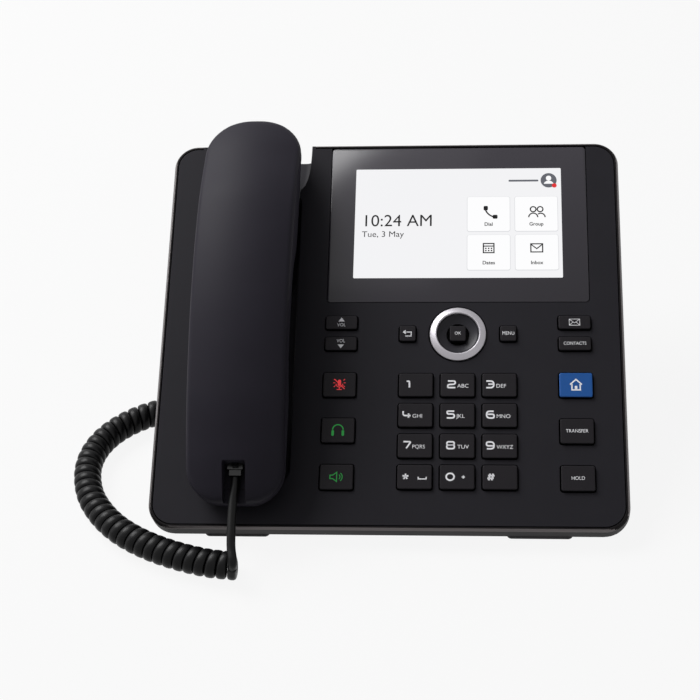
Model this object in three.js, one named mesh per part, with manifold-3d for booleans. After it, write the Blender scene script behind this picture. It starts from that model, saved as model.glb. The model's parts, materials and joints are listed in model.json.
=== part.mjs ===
import * as THREE from 'three';
import { mergeVertices } from 'three/addons/utils/BufferGeometryUtils.js';
import Module from 'manifold-3d';

// A desk IP phone in millimetres, standing on the table plane with its front towards -Y.
// The face frame has u to the right, v up the face from its lower edge and w out of the face.
const wasm = await Module();
wasm.setup();

// Attitude of the face above the table
const tiltDegrees = 30;
const faceLift = 12.3;

// Clearances shared by pieces that seat on or run past each other
const seatGap = 0.3;
const keyClearance = 0.45;
const overrun = 2;
const weldTolerance = 0.0001;
const cornerSteps = 3;
const smallCornerSteps = 2;
const roundSides = 32;
const smallRoundSides = 16;

// Face plate of the top cover and the skirt behind it. Places and sizes on the face are shares
// of the plate, so that what lies side by side keeps its order when the plate changes.
const plateWidth = 237.2;
const plateHeight = 210;
const plateThickness = 3;
const plateCorner = 10.5;
const skirtWall = 2;
const skirtInset = 0.5;
const skirtDepth = 11.5;

// Gunmetal trim frame round the plate
const trimGap = 0.4;
const trimLand = 0.9;
const trimShoulder = 1.1;
const trimShoulderDrop = 1.6;
const trimFlare = 0.5;
const trimDepth = 9.5;

// Rear cover, a tapered tray whose front part is cut flat to stand on its feet
const caseWall = 2.2;
const caseTaper = 3.5;
const caseEdgeRound = 2.5;
const standingHeight = 2.1;

// Cradle for the handset, on the left of the face
const handsetU = -plateWidth * 0.31366;
const troughWidth = plateWidth * 0.20658;
const troughLow = plateHeight * 0.09524;
const troughHigh = plateHeight * 0.88095;
const troughDepth = 5;
const troughCorner = 9;
const wellWall = 2;
const mouthWellWidth = plateWidth * 0.18128;
const mouthWellLow = plateHeight * 0.10476;
const mouthWellHigh = plateHeight * 0.29524;
const mouthWellDepth = 12;
const mouthWellCorner = 12;
const earWellWidth = plateWidth * 0.19815;
const earWellLow = plateHeight * 0.58095;
const earWellDepth = 14;
const earWellCorner = 12;
const notchWidth = plateWidth * 0.24536;
const notchDepth = 24;
const notchFillet = 6;
const notchShares = [[0, 0, 0], [0.11, 0.46, 0.12], [0.31, 0.79, 0.33], [0.63, 0.955, 0.66], [1, 1, 1]];

// Slots over the hands-free loudspeaker, in the floor of the trough
const slotCount = 9;
const slotLength = plateWidth * 0.13491;
const slotWidth = 1.8;
const slotPitch = plateHeight * 0.02095;
const slotCentreV = plateHeight * 0.45238;
const speakerDiameter = plateWidth * 0.16863;
const speakerMagnetDiameter = 22;
const speakerRimDepth = 3;
const speakerDepth = 11;

// Hook plunger that the ear end of the handset holds down
const plungerWidth = 8.2;
const plungerHeight = 4.4;
const plungerCorner = 1;
const plungerV = plateHeight * 0.72381;
const plungerTravel = 4;
const plungerFlange = 1.6;
const plungerFlangeDepth = 1.4;

// Cover glass and display module
const glassWidth = plateWidth * 0.57926;
const glassLow = plateHeight * 0.56857;
const glassHigh = plateHeight * 0.99905;
const glassU = plateWidth * 0.14671;
const glassThickness = 1.6;
const glassCorner = 2;
const glassEdge = 0.3;
const screenWidth = plateWidth * 0.46627;
const screenHeight = plateHeight * 0.30476;
const screenV = plateHeight * 0.78619;
const screenMargin = 0.5;
const panelWidth = plateWidth * 0.50169;
const panelHeight = plateHeight * 0.35238;
const panelCorner = 1.5;
const panelDepth = 4.2;

// Keys: how they stand, travel and are held
const keyProud = 1.5;
const keyEdge = 0.5;
const keyFlange = 0.8;
const keyRoot = 5.5;
const keyCorner = 1.6;
const dialKeyWidth = plateWidth * 0.07315;
const dialKeyHeight = plateHeight * 0.05905;
const dialKeyU = plateWidth * 0.14798;
const dialKeyPitchU = plateWidth * 0.09022;
const dialKeyLowV = plateHeight * 0.11714;
const dialKeyPitchV = plateHeight * 0.07714;
const sideKeyWidth = plateWidth * 0.07083;
const sideKeyHeight = plateHeight * 0.06143;
const sideKeyLowV = plateHeight * 0.11571;
const sideKeyPitchV = plateHeight * 0.11667;
const leftKeysU = -plateWidth * 0.10835;
const rightKeysU = plateWidth * 0.40219;
const slimKeyWidth = plateWidth * 0.06914;
const slimKeyHeight = plateHeight * 0.03429;
const slimKeyLowV = plateHeight * 0.45619;
const slimKeyPitchV = plateHeight * 0.05571;
const squareKeySize = plateHeight * 0.03952;
const squareKeyPitch = plateWidth * 0.11003;

// Navigation rocker
const rockerV = plateHeight * 0.48286;
const ringOuterRadius = plateHeight * 0.06952;
const ringInnerRadius = plateHeight * 0.0519;
const ringProud = 2.5;
const ringRound = 0.6;
const ringFoot = 0.6;
const ringSideProud = 0.7;
const dishRimRadius = plateHeight * 0.05048;
const dishRimProud = 0.9;
const dishHoleRadius = plateHeight * 0.02833;
const dishHoleDepth = 0.9;
const dishBase = 2.6;
const dishHubRadius = plateHeight * 0.04095;
const dishHubBase = 3.65;
const rockerOpening = plateHeight * 0.07238;
const carrierOuterRadius = plateHeight * 0.07857;
const carrierInnerRadius = plateHeight * 0.03333;
const carrierThickness = 1.35;
const okFlangeTop = 4.3;

// Key mat and main board
const matThickness = 1.4;
const matTop = 7;
const matLow = plateHeight * 0.06667;
const matHigh = plateHeight * 0.54762;
const matLeft = -plateWidth * 0.1602;
const matRight = plateWidth * 0.45531;
const boardTop = 8.7;
const boardThickness = 1.6;
const boardLeft = -plateWidth * 0.17875;
const boardRight = plateWidth * 0.47218;
const boardLow = plateHeight * 0.05714;
const boardHigh = plateHeight * 0.96667;
const boardCorner = 3;
const postRadius = 3;
const postInset = 6;

// Jack bay in the underside, with the jack mouths facing the front
const bayLeft = -plateWidth * 0.10961;
const bayRight = plateWidth * 0.33727;
const bayLow = plateHeight * 0.28571;
const bayHigh = plateHeight * 0.4381;
const bayRoof = 13;
const bayWall = 2;
const bayCorner = 2.5;
const jackTop = 11;
const jackMouthMargin = 1.6;
const cordJackWidth = 11.4;
const cordJackHeight = 11;
const cordJackDepth = 17;
const handsetJackU = -plateWidth * 0.05902;
const headsetJackU = plateWidth * 0.01686;
const networkJackU = plateWidth * 0.15177;
const networkPortPitch = 16;
const networkPortWidth = 11.9;
const networkPortHeight = 8.3;
const networkPortDepth = 13.5;
const networkJackWidth = 32.4;
const networkJackHeight = 13.4;
const networkJackDepth = 19;
const jackRoom = 2.4;
const caseDepth = jackTop + networkJackHeight + jackRoom + caseWall;
const latchSlotWidth = 6.2;
const latchSlotHeight = 1.9;
const powerJackU = plateWidth * 0.28246;
const powerJackWidth = 9.4;
const powerJackHeight = 11.2;
const powerJackDepth = 14.5;
const powerBoreRadius = 3.1;
const powerPinRadius = 1;
const powerBoreDepth = 9.5;

// Modular plug on each end of the cord
const plugWidth = 7.65;
const plugHeight = 6;
const plugLength = 15;
const plugTail = 3;
const plugTailInset = 0.9;
const latchWidth = 3.2;
const latchThickness = 0.9;
const latchLength = 11;
const plugClearance = 0.35;
const basePlugProud = 6;

// Vents, screw wells and stand slots in the underside
const ventCount = 14;
const ventPitch = plateWidth * 0.03794;
const ventWidth = 3;
const ventLength = 10;
const ventV = plateHeight * 0.93333;
const ventU = plateWidth * 0.15177;
const screwWellRadius = 3.6;
const screwWellDepth = 4;
const screwBossRadius = 5.6;
const screwInsetU = 12;
const screwLowV = plateHeight * 0.22857;
const screwHighV = plateHeight * 0.9381;

// Clip-on stand behind the case
const standWidth = plateWidth * 0.54806;
const standPlateLow = plateHeight * 0.5619;
const standPlateHigh = plateHeight * 0.89524;
const standPlateThickness = 3.4;
const standLegThickness = 3.4;
const standToeY = plateHeight * 0.70476;
const standHeelY = plateHeight * 0.8;
const standToeThickness = 3;
const gussetThickness = 2.6;
const gussetBack = plateHeight * 0.14286;
const standWindowWidth = plateWidth * 0.26138;
const standWindowLow = plateHeight * 0.08571;
const standWindowHigh = plateHeight * 0.24762;
const standTabWidth = 14;
const standTabLength = 4;
const standTabDepth = 1.9;
const standTabPitch = plateWidth * 0.35413;
const standTabInset = 9;

// Rubber feet
const footThickness = 1.8;
const footCorner = 2.5;
const footWidth = plateWidth * 0.13912;
const footDepth = 9;
const footX = plateWidth * 0.32251;
const footFrontY = 2.7;
const standFootWidth = 24;
const standFootDepth = 12;
const standFootX = plateWidth * 0.20236;
const standFootInset = 3;

// Handset, lying along v
const handsetWidth = plateWidth * 0.21712;
const handsetLow = plateHeight * 0.03619;
const handsetHigh = plateHeight * 1.04524;
const handsetMouthShare = 0.957;
const handsetCrown = 40;
const handsetSag = 5;
const handsetWall = 2.2;
const handsetEdge = 1.3;
const handsetEdgeDrop = 1.1;
const handsetSideDraft = 1.4;
const handsetBellyRound = 4;
const handsetPartingDrop = 3.2;
const handsetLowCorner = handsetWidth * 0.3373;
const handsetHighCorner = handsetWidth * 0.447;
const handsetEndSteps = 5;
const handsetMidSteps = 12;
const handsetCrownSteps = 8;
const handsetPartingSteps = 22;
const crownShares = [
  [0, 0.41], [0.03, 0.5], [0.11, 0.665], [0.25, 0.865], [0.485, 1], [0.73, 0.91], [0.906, 0.63],
  [0.975, 0.48], [1, 0.4],
];
const bellyShares = [
  [0, 0.13], [0.05, 0.06], [0.25, 0.06], [0.34, 0.25], [0.42, 0.31], [0.54, 0.31], [0.6, 0.25],
  [0.67, 0.07], [0.93, 0.06], [0.97, 0.08], [1, 0.13],
];
const earBossWidth = plateWidth * 0.18128;
const earBossLow = plateHeight * 0.68095;
const earBossHigh = plateHeight * 0.96667;
const earBossCorner = earBossWidth * 0.3953;
const earBossDepth = 11;
const mouthBossWidth = plateWidth * 0.1602;
const mouthBossLow = plateHeight * 0.12381;
const mouthBossHigh = plateHeight * 0.27619;
const mouthBossCorner = mouthBossWidth * 0.3158;
const mouthBossDepth = 9;
const bossRoot = 8;
const bossEdge = 1.5;
const pocketWidth = 11.6;
const pocketHigh = plateHeight * 0.12619;
const pocketFloor = 12.2;
const pocketWall = 2.2;
const socketWidth = 12;
const socketHeight = 10.6;
const socketDepth = 13;
const soundHoleRows = 3;
const soundHolePitch = 5;
const soundHoleWidth = 1.6;
const soundHoleLength = 12;
const micHoleLength = 5;
const micHolePitch = 3.4;
const receiverDiameter = plateWidth * 0.13491;
const receiverDepth = 6;
const receiverMagnetDiameter = 16;
const receiverMagnetDepth = 3;
const receiverV = plateHeight * 0.80952;
const micDiameter = 9.7;
const micDepth = 5;
const micV = plateHeight * 0.2;

// Cord: a round lead from the handset, a curly part on the table and a lead to the base jack
const wireDiameter = 4.4;
const wireSides = 5;
const leadSides = 8;
const leadSteps = 16;
const curlOuterDiameter = 14.3;
const curlClearance = 0.12;
const curlCount = 48.25;
const curlSteps = 8;
const rearLeadSteps = 26;
const curlAxis = [
  [-73.9, -23], [-86, -21.6], [-97, -18.9], [-108, -15.2], [-119, -10.4], [-129.5, -4.4],
  [-139.2, 3], [-147.6, 12], [-154.4, 22.2], [-158.8, 33.5], [-160.8, 45.5], [-159.6, 57],
  [-155.2, 67.5], [-148, 76.4], [-138.8, 83.4], [-128.2, 88.4], [-117, 91.6], [-105.5, 93.2],
  [-93, 93.4], [-80.5, 92.6], [-68, 91.2], [-55.5, 89.8], [-44, 88.6],
];
const handsetLeadRoute = [
  [-74.9, 0.5, 30.6], [-75, -8, 26.4], [-74.7, -15.6, 22.8], [-74.2, -22.4, 19],
];
const rearLeadRoute = [
  [-43.4, 76.6, 2.6], [-40.4, 71, 2.6], [-35, 67.4, 2.6], [-28, 65.6, 2.8], [-21.6, 66.2, 4.8],
  [-16.8, 68, 9.6], [-14.4, 70, 16], [-14, 71.6, 22.6], [-14, 74.2, 29],
];

// Width of the plate that the routes of the cord are drawn for
const routePlateWidth = 237.2;
const routeScale = plateWidth / routePlateWidth;

const tilt = THREE.MathUtils.degToRad(tiltDegrees);
const handsetMiddle = handsetWidth / 2;
const plateMiddleV = plateHeight / 2;
const trimReach = trimGap + trimLand + trimShoulder + trimFlare;
const keySeat = plateThickness + seatGap;
const trayRim = trimDepth + seatGap;
const notchTopV = plateHeight + trimReach;
const quarterTurn = Math.PI / 2;

// A closed three.js geometry as an exact solid, and back again.
function solid(geometry) {
  const bare = geometry.clone();
  bare.deleteAttribute('normal');
  bare.deleteAttribute('uv');
  const merged = mergeVertices(bare, weldTolerance);
  return new wasm.Manifold(new wasm.Mesh({
    numProp: 3,
    vertProperties: Float32Array.from(merged.attributes.position.array),
    triVerts: Uint32Array.from(merged.index.array),
  }));
}

function skin(body) {
  const mesh = body.getMesh();
  const geometry = new THREE.BufferGeometry();
  geometry.setAttribute('position', new THREE.BufferAttribute(mesh.vertProperties, mesh.numProp));
  geometry.setIndex(new THREE.BufferAttribute(mesh.triVerts, 1));
  geometry.computeVertexNormals();
  return geometry;
}

// Rings of points, each with the same count, joined in order and capped at both ends.
function loft(rings) {
  const count = rings[0].length;
  const positions = [];
  const index = [];
  for (const ring of rings) {
    for (const point of ring) positions.push(point.x, point.y, point.z);
  }
  for (let row = 0; row + 1 < rings.length; row += 1) {
    for (let column = 0; column < count; column += 1) {
      const next = (column + 1) % count;
      const a = row * count + column;
      const b = row * count + next;
      const c = a + count;
      const d = b + count;
      index.push(a, b, d, a, d, c);
    }
  }
  const last = (rings.length - 1) * count;
  const middles = [rings[0], rings[rings.length - 1]].map((ring) => ring
    .reduce((sum, point) => sum.add(point), new THREE.Vector3()).divideScalar(count));
  middles.forEach((middle) => positions.push(middle.x, middle.y, middle.z));
  const firstMiddle = rings.length * count;
  for (let column = 0; column < count; column += 1) {
    const next = (column + 1) % count;
    index.push(firstMiddle, next, column);
    index.push(firstMiddle + 1, last + column, last + next);
  }
  const geometry = new THREE.BufferGeometry();
  geometry.setAttribute('position', new THREE.Float32BufferAttribute(positions, 3));
  geometry.setIndex(index);
  return geometry;
}

// A rounded rectangle, counter-clockwise, as points about its own middle.
function roundedOutline(width, height, radius, steps) {
  const points = [];
  for (let corner = 0; corner < 4; corner += 1) {
    const signX = corner === 0 || corner === 3 ? 1 : -1;
    const signY = corner < 2 ? 1 : -1;
    for (let step = 0; step <= steps; step += 1) {
      const angle = (corner + step / steps) * quarterTurn;
      points.push([
        signX * (width / 2 - radius) + radius * Math.cos(angle),
        signY * (height / 2 - radius) + radius * Math.sin(angle),
      ]);
    }
  }
  return points;
}

// A rounded rectangle stacked up along w: each level has its own offset outwards.
function stack(place, levels, steps = smallCornerSteps) {
  const rings = levels.map(([offset, w]) => roundedOutline(
    place.width + 2 * offset,
    place.height + 2 * offset,
    place.corner + offset,
    steps,
  ).map(([x, y]) => new THREE.Vector3(place.u + x, place.v + y, w)));
  return loft(rings);
}

function slab(place, low, high, steps) {
  return stack(place, [[0, low], [0, high]], steps);
}

function block(left, right, near, far, low, high) {
  const box = new THREE.BoxGeometry(right - left, far - near, high - low);
  return box.translate((left + right) / 2, (near + far) / 2, (low + high) / 2);
}

function post(radius, u, v, low, high, sides = smallRoundSides) {
  const cylinder = new THREE.CylinderGeometry(radius, radius, high - low, sides);
  return cylinder.rotateX(quarterTurn).translate(u, v, (low + high) / 2);
}

// A revolved piece about w, from a profile of radius and height that closes on itself.
function revolved(profile, u, v) {
  const points = profile.map(([radius, w]) => new THREE.Vector2(radius, w));
  points.push(points[0].clone());
  return new THREE.LatheGeometry(points, roundSides).rotateX(quarterTurn).translate(u, v, 0);
}

// An outline drawn in v and w, drawn out along u.
function sideways(outline, left, right) {
  const shape = new THREE.Shape(outline.map(([v, w]) => new THREE.Vector2(v, w)));
  const geometry = new THREE.ExtrudeGeometry(shape, { depth: right - left, bevelEnabled: false });
  const turn = new THREE.Matrix4().makeBasis(
    new THREE.Vector3(0, 1, 0),
    new THREE.Vector3(0, 0, 1),
    new THREE.Vector3(1, 0, 0),
  );
  return geometry.applyMatrix4(turn).translate(left, 0, 0);
}

// Moves something drawn against the table into the tilted face frame, and the way back.
function fromTable(geometry) {
  return geometry.translate(0, 0, -faceLift).rotateX(-tilt);
}

function toTable(u, v, w) {
  return new THREE.Vector3(u, v, w).applyAxisAngle(new THREE.Vector3(1, 0, 0), tilt)
    .add(new THREE.Vector3(0, 0, faceLift));
}

// A smooth value along a table of [place, value] shares.
function along(table, place) {
  const last = table.length - 1;
  let row = 0;
  while (row < last - 1 && place > table[row + 1][0]) row += 1;
  const slope = (at) => {
    const before = table[Math.max(at - 1, 0)];
    const after = table[Math.min(at + 1, last)];
    return (after[1] - before[1]) / (after[0] - before[0]);
  };
  const [startPlace, startValue] = table[row];
  const [endPlace, endValue] = table[row + 1];
  const span = endPlace - startPlace;
  const t = (place - startPlace) / span;
  const blend = t * t * (3 - 2 * t);
  const bulge = t * (1 - t) * ((1 - t) * slope(row) - t * slope(row + 1)) * span;
  return startValue + (endValue - startValue) * blend + bulge;
}

function mirrored(count) {
  return Array.from({ length: count }, (_, at) => at - (count - 1) / 2);
}

const wholePlate = {
  u: 0, v: plateMiddleV, width: plateWidth, height: plateHeight, corner: plateCorner,
};

// Notch at the top edge where the cradle runs out through the rim.
function notch(wall, top) {
  const low = troughHigh - (wall > 0 ? wellWall : 0);
  const high = notchTopV + (wall > 0 ? 0 : overrun);
  const rings = notchShares.map(([share, widening, deepening]) => {
    const v = low + (high - low) * share;
    const half = (earWellWidth + (notchWidth - earWellWidth) * widening) / 2 + wall;
    const depth = earWellDepth + (notchDepth - earWellDepth) * deepening + wall;
    const points = [[half, top]];
    points.push([-half, top]);
    for (let step = 0; step <= cornerSteps; step += 1) {
      const angle = (step / cornerSteps) * quarterTurn;
      points.push([
        -half + notchFillet * (1 - Math.cos(angle)),
        -depth + notchFillet * (1 - Math.sin(angle)),
      ]);
    }
    for (let step = cornerSteps; step >= 0; step -= 1) {
      const angle = (step / cornerSteps) * quarterTurn;
      points.push([
        half - notchFillet * (1 - Math.cos(angle)),
        -depth + notchFillet * (1 - Math.sin(angle)),
      ]);
    }
    return points.map(([x, w]) => new THREE.Vector3(handsetU + x, v, w)).reverse();
  });
  return loft(rings);
}

const trough = {
  u: handsetU,
  v: (troughLow + troughHigh) / 2,
  width: troughWidth,
  height: troughHigh - troughLow,
  corner: troughCorner,
};
const mouthWell = {
  u: handsetU,
  v: (mouthWellLow + mouthWellHigh) / 2,
  width: mouthWellWidth,
  height: mouthWellHigh - mouthWellLow,
  corner: mouthWellCorner,
};
const earWell = {
  u: handsetU,
  v: (earWellLow + plateHeight) / 2,
  width: earWellWidth,
  height: plateHeight - earWellLow,
  corner: earWellCorner,
};
const glass = {
  u: glassU,
  v: (glassLow + glassHigh) / 2,
  width: glassWidth,
  height: glassHigh - glassLow,
  corner: glassCorner,
};
const screen = {
  u: glassU, v: screenV, width: screenWidth, height: screenHeight, corner: glassCorner,
};
const plungerPlace = {
  u: handsetU, v: plungerV, width: plungerWidth, height: plungerHeight, corner: plungerCorner,
};

// Places of all keys but the one inside the rocker.
const keyPlaces = [];
function addKey(name, u, v, width, height, colour = 'key') {
  keyPlaces.push({ name, u, v, width, height, corner: keyCorner, colour });
}
const dialNames = ['key_1', 'key_2', 'key_3', 'key_4', 'key_5', 'key_6', 'key_7', 'key_8', 'key_9',
  'key_star', 'key_0', 'key_hash'];
dialNames.forEach((name, order) => {
  const column = (order % 3) - 1;
  const row = 3 - Math.floor(order / 3);
  const u = dialKeyU + column * dialKeyPitchU;
  addKey(name, u, dialKeyLowV + row * dialKeyPitchV, dialKeyWidth, dialKeyHeight);
});
['speaker_key', 'headset_key', 'mute_key'].forEach((name, row) => {
  addKey(name, leftKeysU, sideKeyLowV + row * sideKeyPitchV, sideKeyWidth, sideKeyHeight);
});
['hold_key', 'transfer_key', 'home_key'].forEach((name, row) => {
  const colour = name === 'home_key' ? 'blue' : 'key';
  const v = sideKeyLowV + row * sideKeyPitchV;
  addKey(name, rightKeysU, v, sideKeyWidth, sideKeyHeight, colour);
});
['volume_down_key', 'volume_up_key'].forEach((name, row) => {
  addKey(name, leftKeysU, slimKeyLowV + row * slimKeyPitchV, slimKeyWidth, slimKeyHeight);
});
['contacts_key', 'message_key'].forEach((name, row) => {
  addKey(name, rightKeysU, slimKeyLowV + row * slimKeyPitchV, slimKeyWidth, slimKeyHeight);
});
addKey('back_key', dialKeyU - squareKeyPitch, rockerV, squareKeySize, squareKeySize);
addKey('menu_key', dialKeyU + squareKeyPitch, rockerV, squareKeySize, squareKeySize);

// Key cap with a raised, edged top and a flange below the plate that holds it in.
function keySolid(place, flangeTop) {
  return stack(place, [
    [keyFlange, -keyRoot],
    [keyFlange, -flangeTop],
    [0, -flangeTop],
    [0, keyProud - keyEdge],
    [-keyEdge, keyProud],
  ]);
}

// Everything below the flat underside at the front, raised by a given amount.
function belowTable(raise) {
  return solid(fromTable(block(
    -plateWidth,
    plateWidth,
    -plateHeight,
    plateHeight * 2,
    -plateHeight,
    standingHeight + raise,
  )));
}

function topCover() {
  let body = solid(slab(wholePlate, -plateThickness, 0, cornerSteps));
  const skirtOutside = solid(stack(wholePlate, [
    [-skirtInset, -skirtDepth],
    [-skirtInset, -plateThickness / 2],
  ], cornerSteps));
  const skirtInside = solid(stack(wholePlate, [
    [-skirtInset - skirtWall, -skirtDepth - overrun],
    [-skirtInset - skirtWall, 0],
  ], cornerSteps));
  body = body.add(skirtOutside.subtract(skirtInside));
  const under = -plateThickness / 2;
  const wellRoot = under;
  body = body.add(solid(stack(trough, [
    [wellWall, -troughDepth - wellWall],
    [wellWall, wellRoot],
  ], cornerSteps)));
  body = body.add(solid(stack(mouthWell, [
    [wellWall - wellWall / 2, -mouthWellDepth - wellWall],
    [wellWall, -mouthWellDepth],
    [wellWall, wellRoot],
  ], cornerSteps)));
  body = body.add(solid(stack(earWell, [
    [wellWall - wellWall / 2, -earWellDepth - wellWall],
    [wellWall, -earWellDepth],
    [wellWall, wellRoot],
  ], cornerSteps)));
  body = body.add(solid(notch(wellWall, 0)));
  body = body.subtract(solid(stack(trough, [
    [-plateThickness / 2, -troughDepth],
    [0, -troughDepth + plateThickness / 2],
    [0, overrun],
  ], cornerSteps)));
  body = body.subtract(solid(stack(mouthWell, [
    [-wellWall, -mouthWellDepth],
    [0, -mouthWellDepth + wellWall],
    [0, overrun],
  ], cornerSteps)));
  body = body.subtract(solid(stack(earWell, [
    [-wellWall, -earWellDepth],
    [0, -earWellDepth + wellWall],
    [0, overrun],
  ], cornerSteps)));
  body = body.subtract(solid(notch(0, overrun)));
  for (const place of mirrored(slotCount)) {
    const v = slotCentreV + place * slotPitch;
    const slot = {
      u: handsetU, v, width: slotLength, height: slotWidth, corner: slotWidth / 2 - weldTolerance,
    };
    body = body.subtract(solid(slab(slot, -troughDepth - wellWall - overrun, 0)));
  }
  body = body.subtract(solid(stack(plungerPlace, [
    [seatGap, -earWellDepth - wellWall - overrun],
    [seatGap, 0],
  ])));
  const recess = {
    ...glass,
    v: (glassLow + plateHeight + overrun) / 2,
    height: plateHeight + overrun - glassLow,
  };
  body = body.subtract(solid(stack(recess, [
    [seatGap, -glassThickness - seatGap],
    [seatGap, overrun],
  ])));
  body = body.subtract(solid(stack(screen, [
    [screenMargin, -plateThickness - overrun],
    [screenMargin, 0],
  ])));
  for (const place of keyPlaces) {
    body = body.subtract(solid(stack(place, [
      [keyClearance, -plateThickness - overrun],
      [keyClearance, overrun],
    ])));
  }
  const rockerHole = post(rockerOpening, dialKeyU, rockerV, -plateThickness - overrun, overrun,
    roundSides);
  return body.subtract(solid(rockerHole)).subtract(belowTable(caseWall + seatGap));
}

// The trim is one ring with an open gap where the cradle leaves the top edge.
function trimFrame() {
  const profile = [
    [trimGap, -trimDepth],
    [trimGap, 0],
    [trimGap + trimLand, 0],
    [trimReach - trimFlare, -trimShoulderDrop],
    [trimReach, -trimDepth],
  ];
  const outside = solid(stack(wholePlate, profile.slice(2).reverse(), cornerSteps * 2));
  const inside = solid(stack(wholePlate, [
    [trimGap, -trimDepth - overrun],
    [trimGap, overrun],
  ], cornerSteps * 2));
  const gapHalf = notchWidth / 2 + wellWall + seatGap;
  const gap = block(handsetU - gapHalf, handsetU + gapHalf, plateMiddleV, notchTopV + overrun,
    -trimDepth - overrun, overrun);
  return outside.subtract(inside).subtract(solid(gap));
}

// Outside or inside volume of the rear cover, standing flat on a plane above the table.
function trayVolume(inset, top) {
  const floor = -caseDepth + inset;
  const shape = stack(wholePlate, [
    [trimReach - caseTaper - caseEdgeRound - inset, floor],
    [trimReach - caseTaper - inset, floor + caseEdgeRound],
    [trimReach - inset, top],
  ], cornerSteps * 2);
  return solid(shape).subtract(belowTable(inset));
}

const jackWallFront = bayHigh;
function jackHole(u, width, height) {
  return block(
    u - width / 2 - seatGap,
    u + width / 2 + seatGap,
    jackWallFront - overrun,
    jackWallFront + bayWall + overrun,
    -jackTop - height - seatGap,
    -jackTop + seatGap,
  );
}

function rearCover() {
  const outside = trayVolume(0, -trayRim);
  const bay = {
    u: (bayLeft + bayRight) / 2,
    v: (bayLow + bayHigh) / 2,
    width: bayRight - bayLeft,
    height: bayHigh - bayLow,
    corner: bayCorner,
  };
  let body = outside.subtract(trayVolume(caseWall, -trayRim + overrun));
  const inner = trayVolume(caseWall / 2, -trayRim);
  const bayShell = solid(stack(bay, [[bayWall, -caseDepth], [bayWall, -bayRoof + bayWall]]));
  body = body.add(bayShell.intersect(inner));
  const postsU = [boardLeft + postInset, boardRight - postInset];
  const postsV = [boardLow + postInset, boardHigh - postInset];
  for (const u of postsU) {
    for (const v of postsV) {
      const pillar = post(postRadius, u, v, -caseDepth, -boardTop - boardThickness - seatGap);
      body = body.add(solid(pillar).intersect(inner));
    }
  }
  const screwU = plateWidth / 2 - screwInsetU;
  const screwPlaces = [-screwU, screwU].flatMap((u) => [[u, screwLowV], [u, screwHighV]]);
  for (const [u, v] of screwPlaces) {
    body = body.add(solid(post(screwBossRadius, u, v, -caseDepth, -skirtDepth - wellWall))
      .intersect(inner));
  }
  body = body.subtract(solid(stack(bay, [[0, -caseDepth - overrun], [0, -bayRoof]])));
  body = body.subtract(solid(jackHole(handsetJackU, cordJackWidth, cordJackHeight)));
  body = body.subtract(solid(jackHole(headsetJackU, cordJackWidth, cordJackHeight)));
  body = body.subtract(solid(jackHole(networkJackU, networkJackWidth, networkJackHeight)));
  body = body.subtract(solid(jackHole(powerJackU, powerJackWidth, powerJackHeight)));
  for (const [u, v] of screwPlaces) {
    body = body.subtract(solid(post(screwWellRadius, u, v, -caseDepth - overrun,
      -caseDepth + screwWellDepth)));
  }
  for (const place of mirrored(ventCount)) {
    const vent = {
      u: ventU + place * ventPitch,
      v: ventV,
      width: ventWidth,
      height: ventLength,
      corner: ventWidth / 2 - weldTolerance,
    };
    body = body.subtract(solid(slab(vent, -caseDepth - overrun, -caseDepth + caseWall + overrun)));
  }
  for (const tab of standTabs(seatGap)) body = body.subtract(solid(tab));
  const notchRoom = notch(wellWall + seatGap, overrun);
  const wellRoom = stack(earWell, [
    [wellWall + seatGap, -earWellDepth - wellWall - seatGap],
    [wellWall + seatGap, 0],
  ], cornerSteps);
  const notchEnd = block(
    handsetU - notchWidth / 2 - wellWall - seatGap,
    handsetU + notchWidth / 2 + wellWall + seatGap,
    notchTopV - overrun,
    notchTopV + overrun,
    -notchDepth - wellWall - seatGap,
    0,
  );
  return body.subtract(solid(notchRoom)).subtract(solid(wellRoom)).subtract(solid(notchEnd));
}

// Tabs that hook the stand into slots in the underside.
function standTabs(gap) {
  return [-1, 1].flatMap((side) => [standPlateLow + standTabInset, standPlateHigh - standTabInset]
    .map((v) => block(
      side * standTabPitch / 2 - standTabWidth / 2 - gap,
      side * standTabPitch / 2 + standTabWidth / 2 + gap,
      v - standTabLength / 2 - gap,
      v + standTabLength / 2 + gap,
      -caseDepth - seatGap - (gap > 0 ? overrun : standPlateThickness / 2),
      -caseDepth + standTabDepth + gap * 2,
    )));
}

// Bent stand: a plate against the underside, a leg with a cable window, and a toe.
function stand() {
  const plateFace = -caseDepth - seatGap;
  const plate = block(-standWidth / 2, standWidth / 2, standPlateLow, standPlateHigh,
    plateFace - standPlateThickness, plateFace);
  const hinge = toTable(0, standPlateHigh, plateFace);
  const hingeBack = toTable(0, standPlateHigh, plateFace - standPlateThickness);
  const plateNear = toTable(0, standPlateLow + gussetBack, plateFace - standPlateThickness / 2);
  const toe = standingHeight;
  const leg = fromTable(sideways([
    [standToeY, toe],
    [standHeelY, toe],
    [hinge.y, hinge.z],
    [hingeBack.y - standLegThickness, hingeBack.z],
    [standHeelY - standLegThickness, toe + standToeThickness],
    [standToeY, toe + standToeThickness],
  ], -standWidth / 2, standWidth / 2));
  let body = solid(plate).add(solid(leg));
  for (const side of [-1, 1]) {
    const outer = side * standWidth / 2;
    const inner = side * (standWidth / 2 - gussetThickness);
    body = body.add(solid(fromTable(sideways([
      [standToeY, toe],
      [standHeelY - standLegThickness / 2, toe],
      [hinge.y - standLegThickness / 2, hinge.z - standLegThickness],
      [plateNear.y, plateNear.z],
    ], Math.min(outer, inner), Math.max(outer, inner)))));
  }
  body = body.subtract(solid(fromTable(block(
    -standWindowWidth / 2,
    standWindowWidth / 2,
    standToeY,
    hinge.y + overrun * 2,
    standWindowLow,
    standWindowHigh,
  ))));
  for (const tab of standTabs(0)) body = body.add(solid(tab));
  return body;
}

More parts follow.
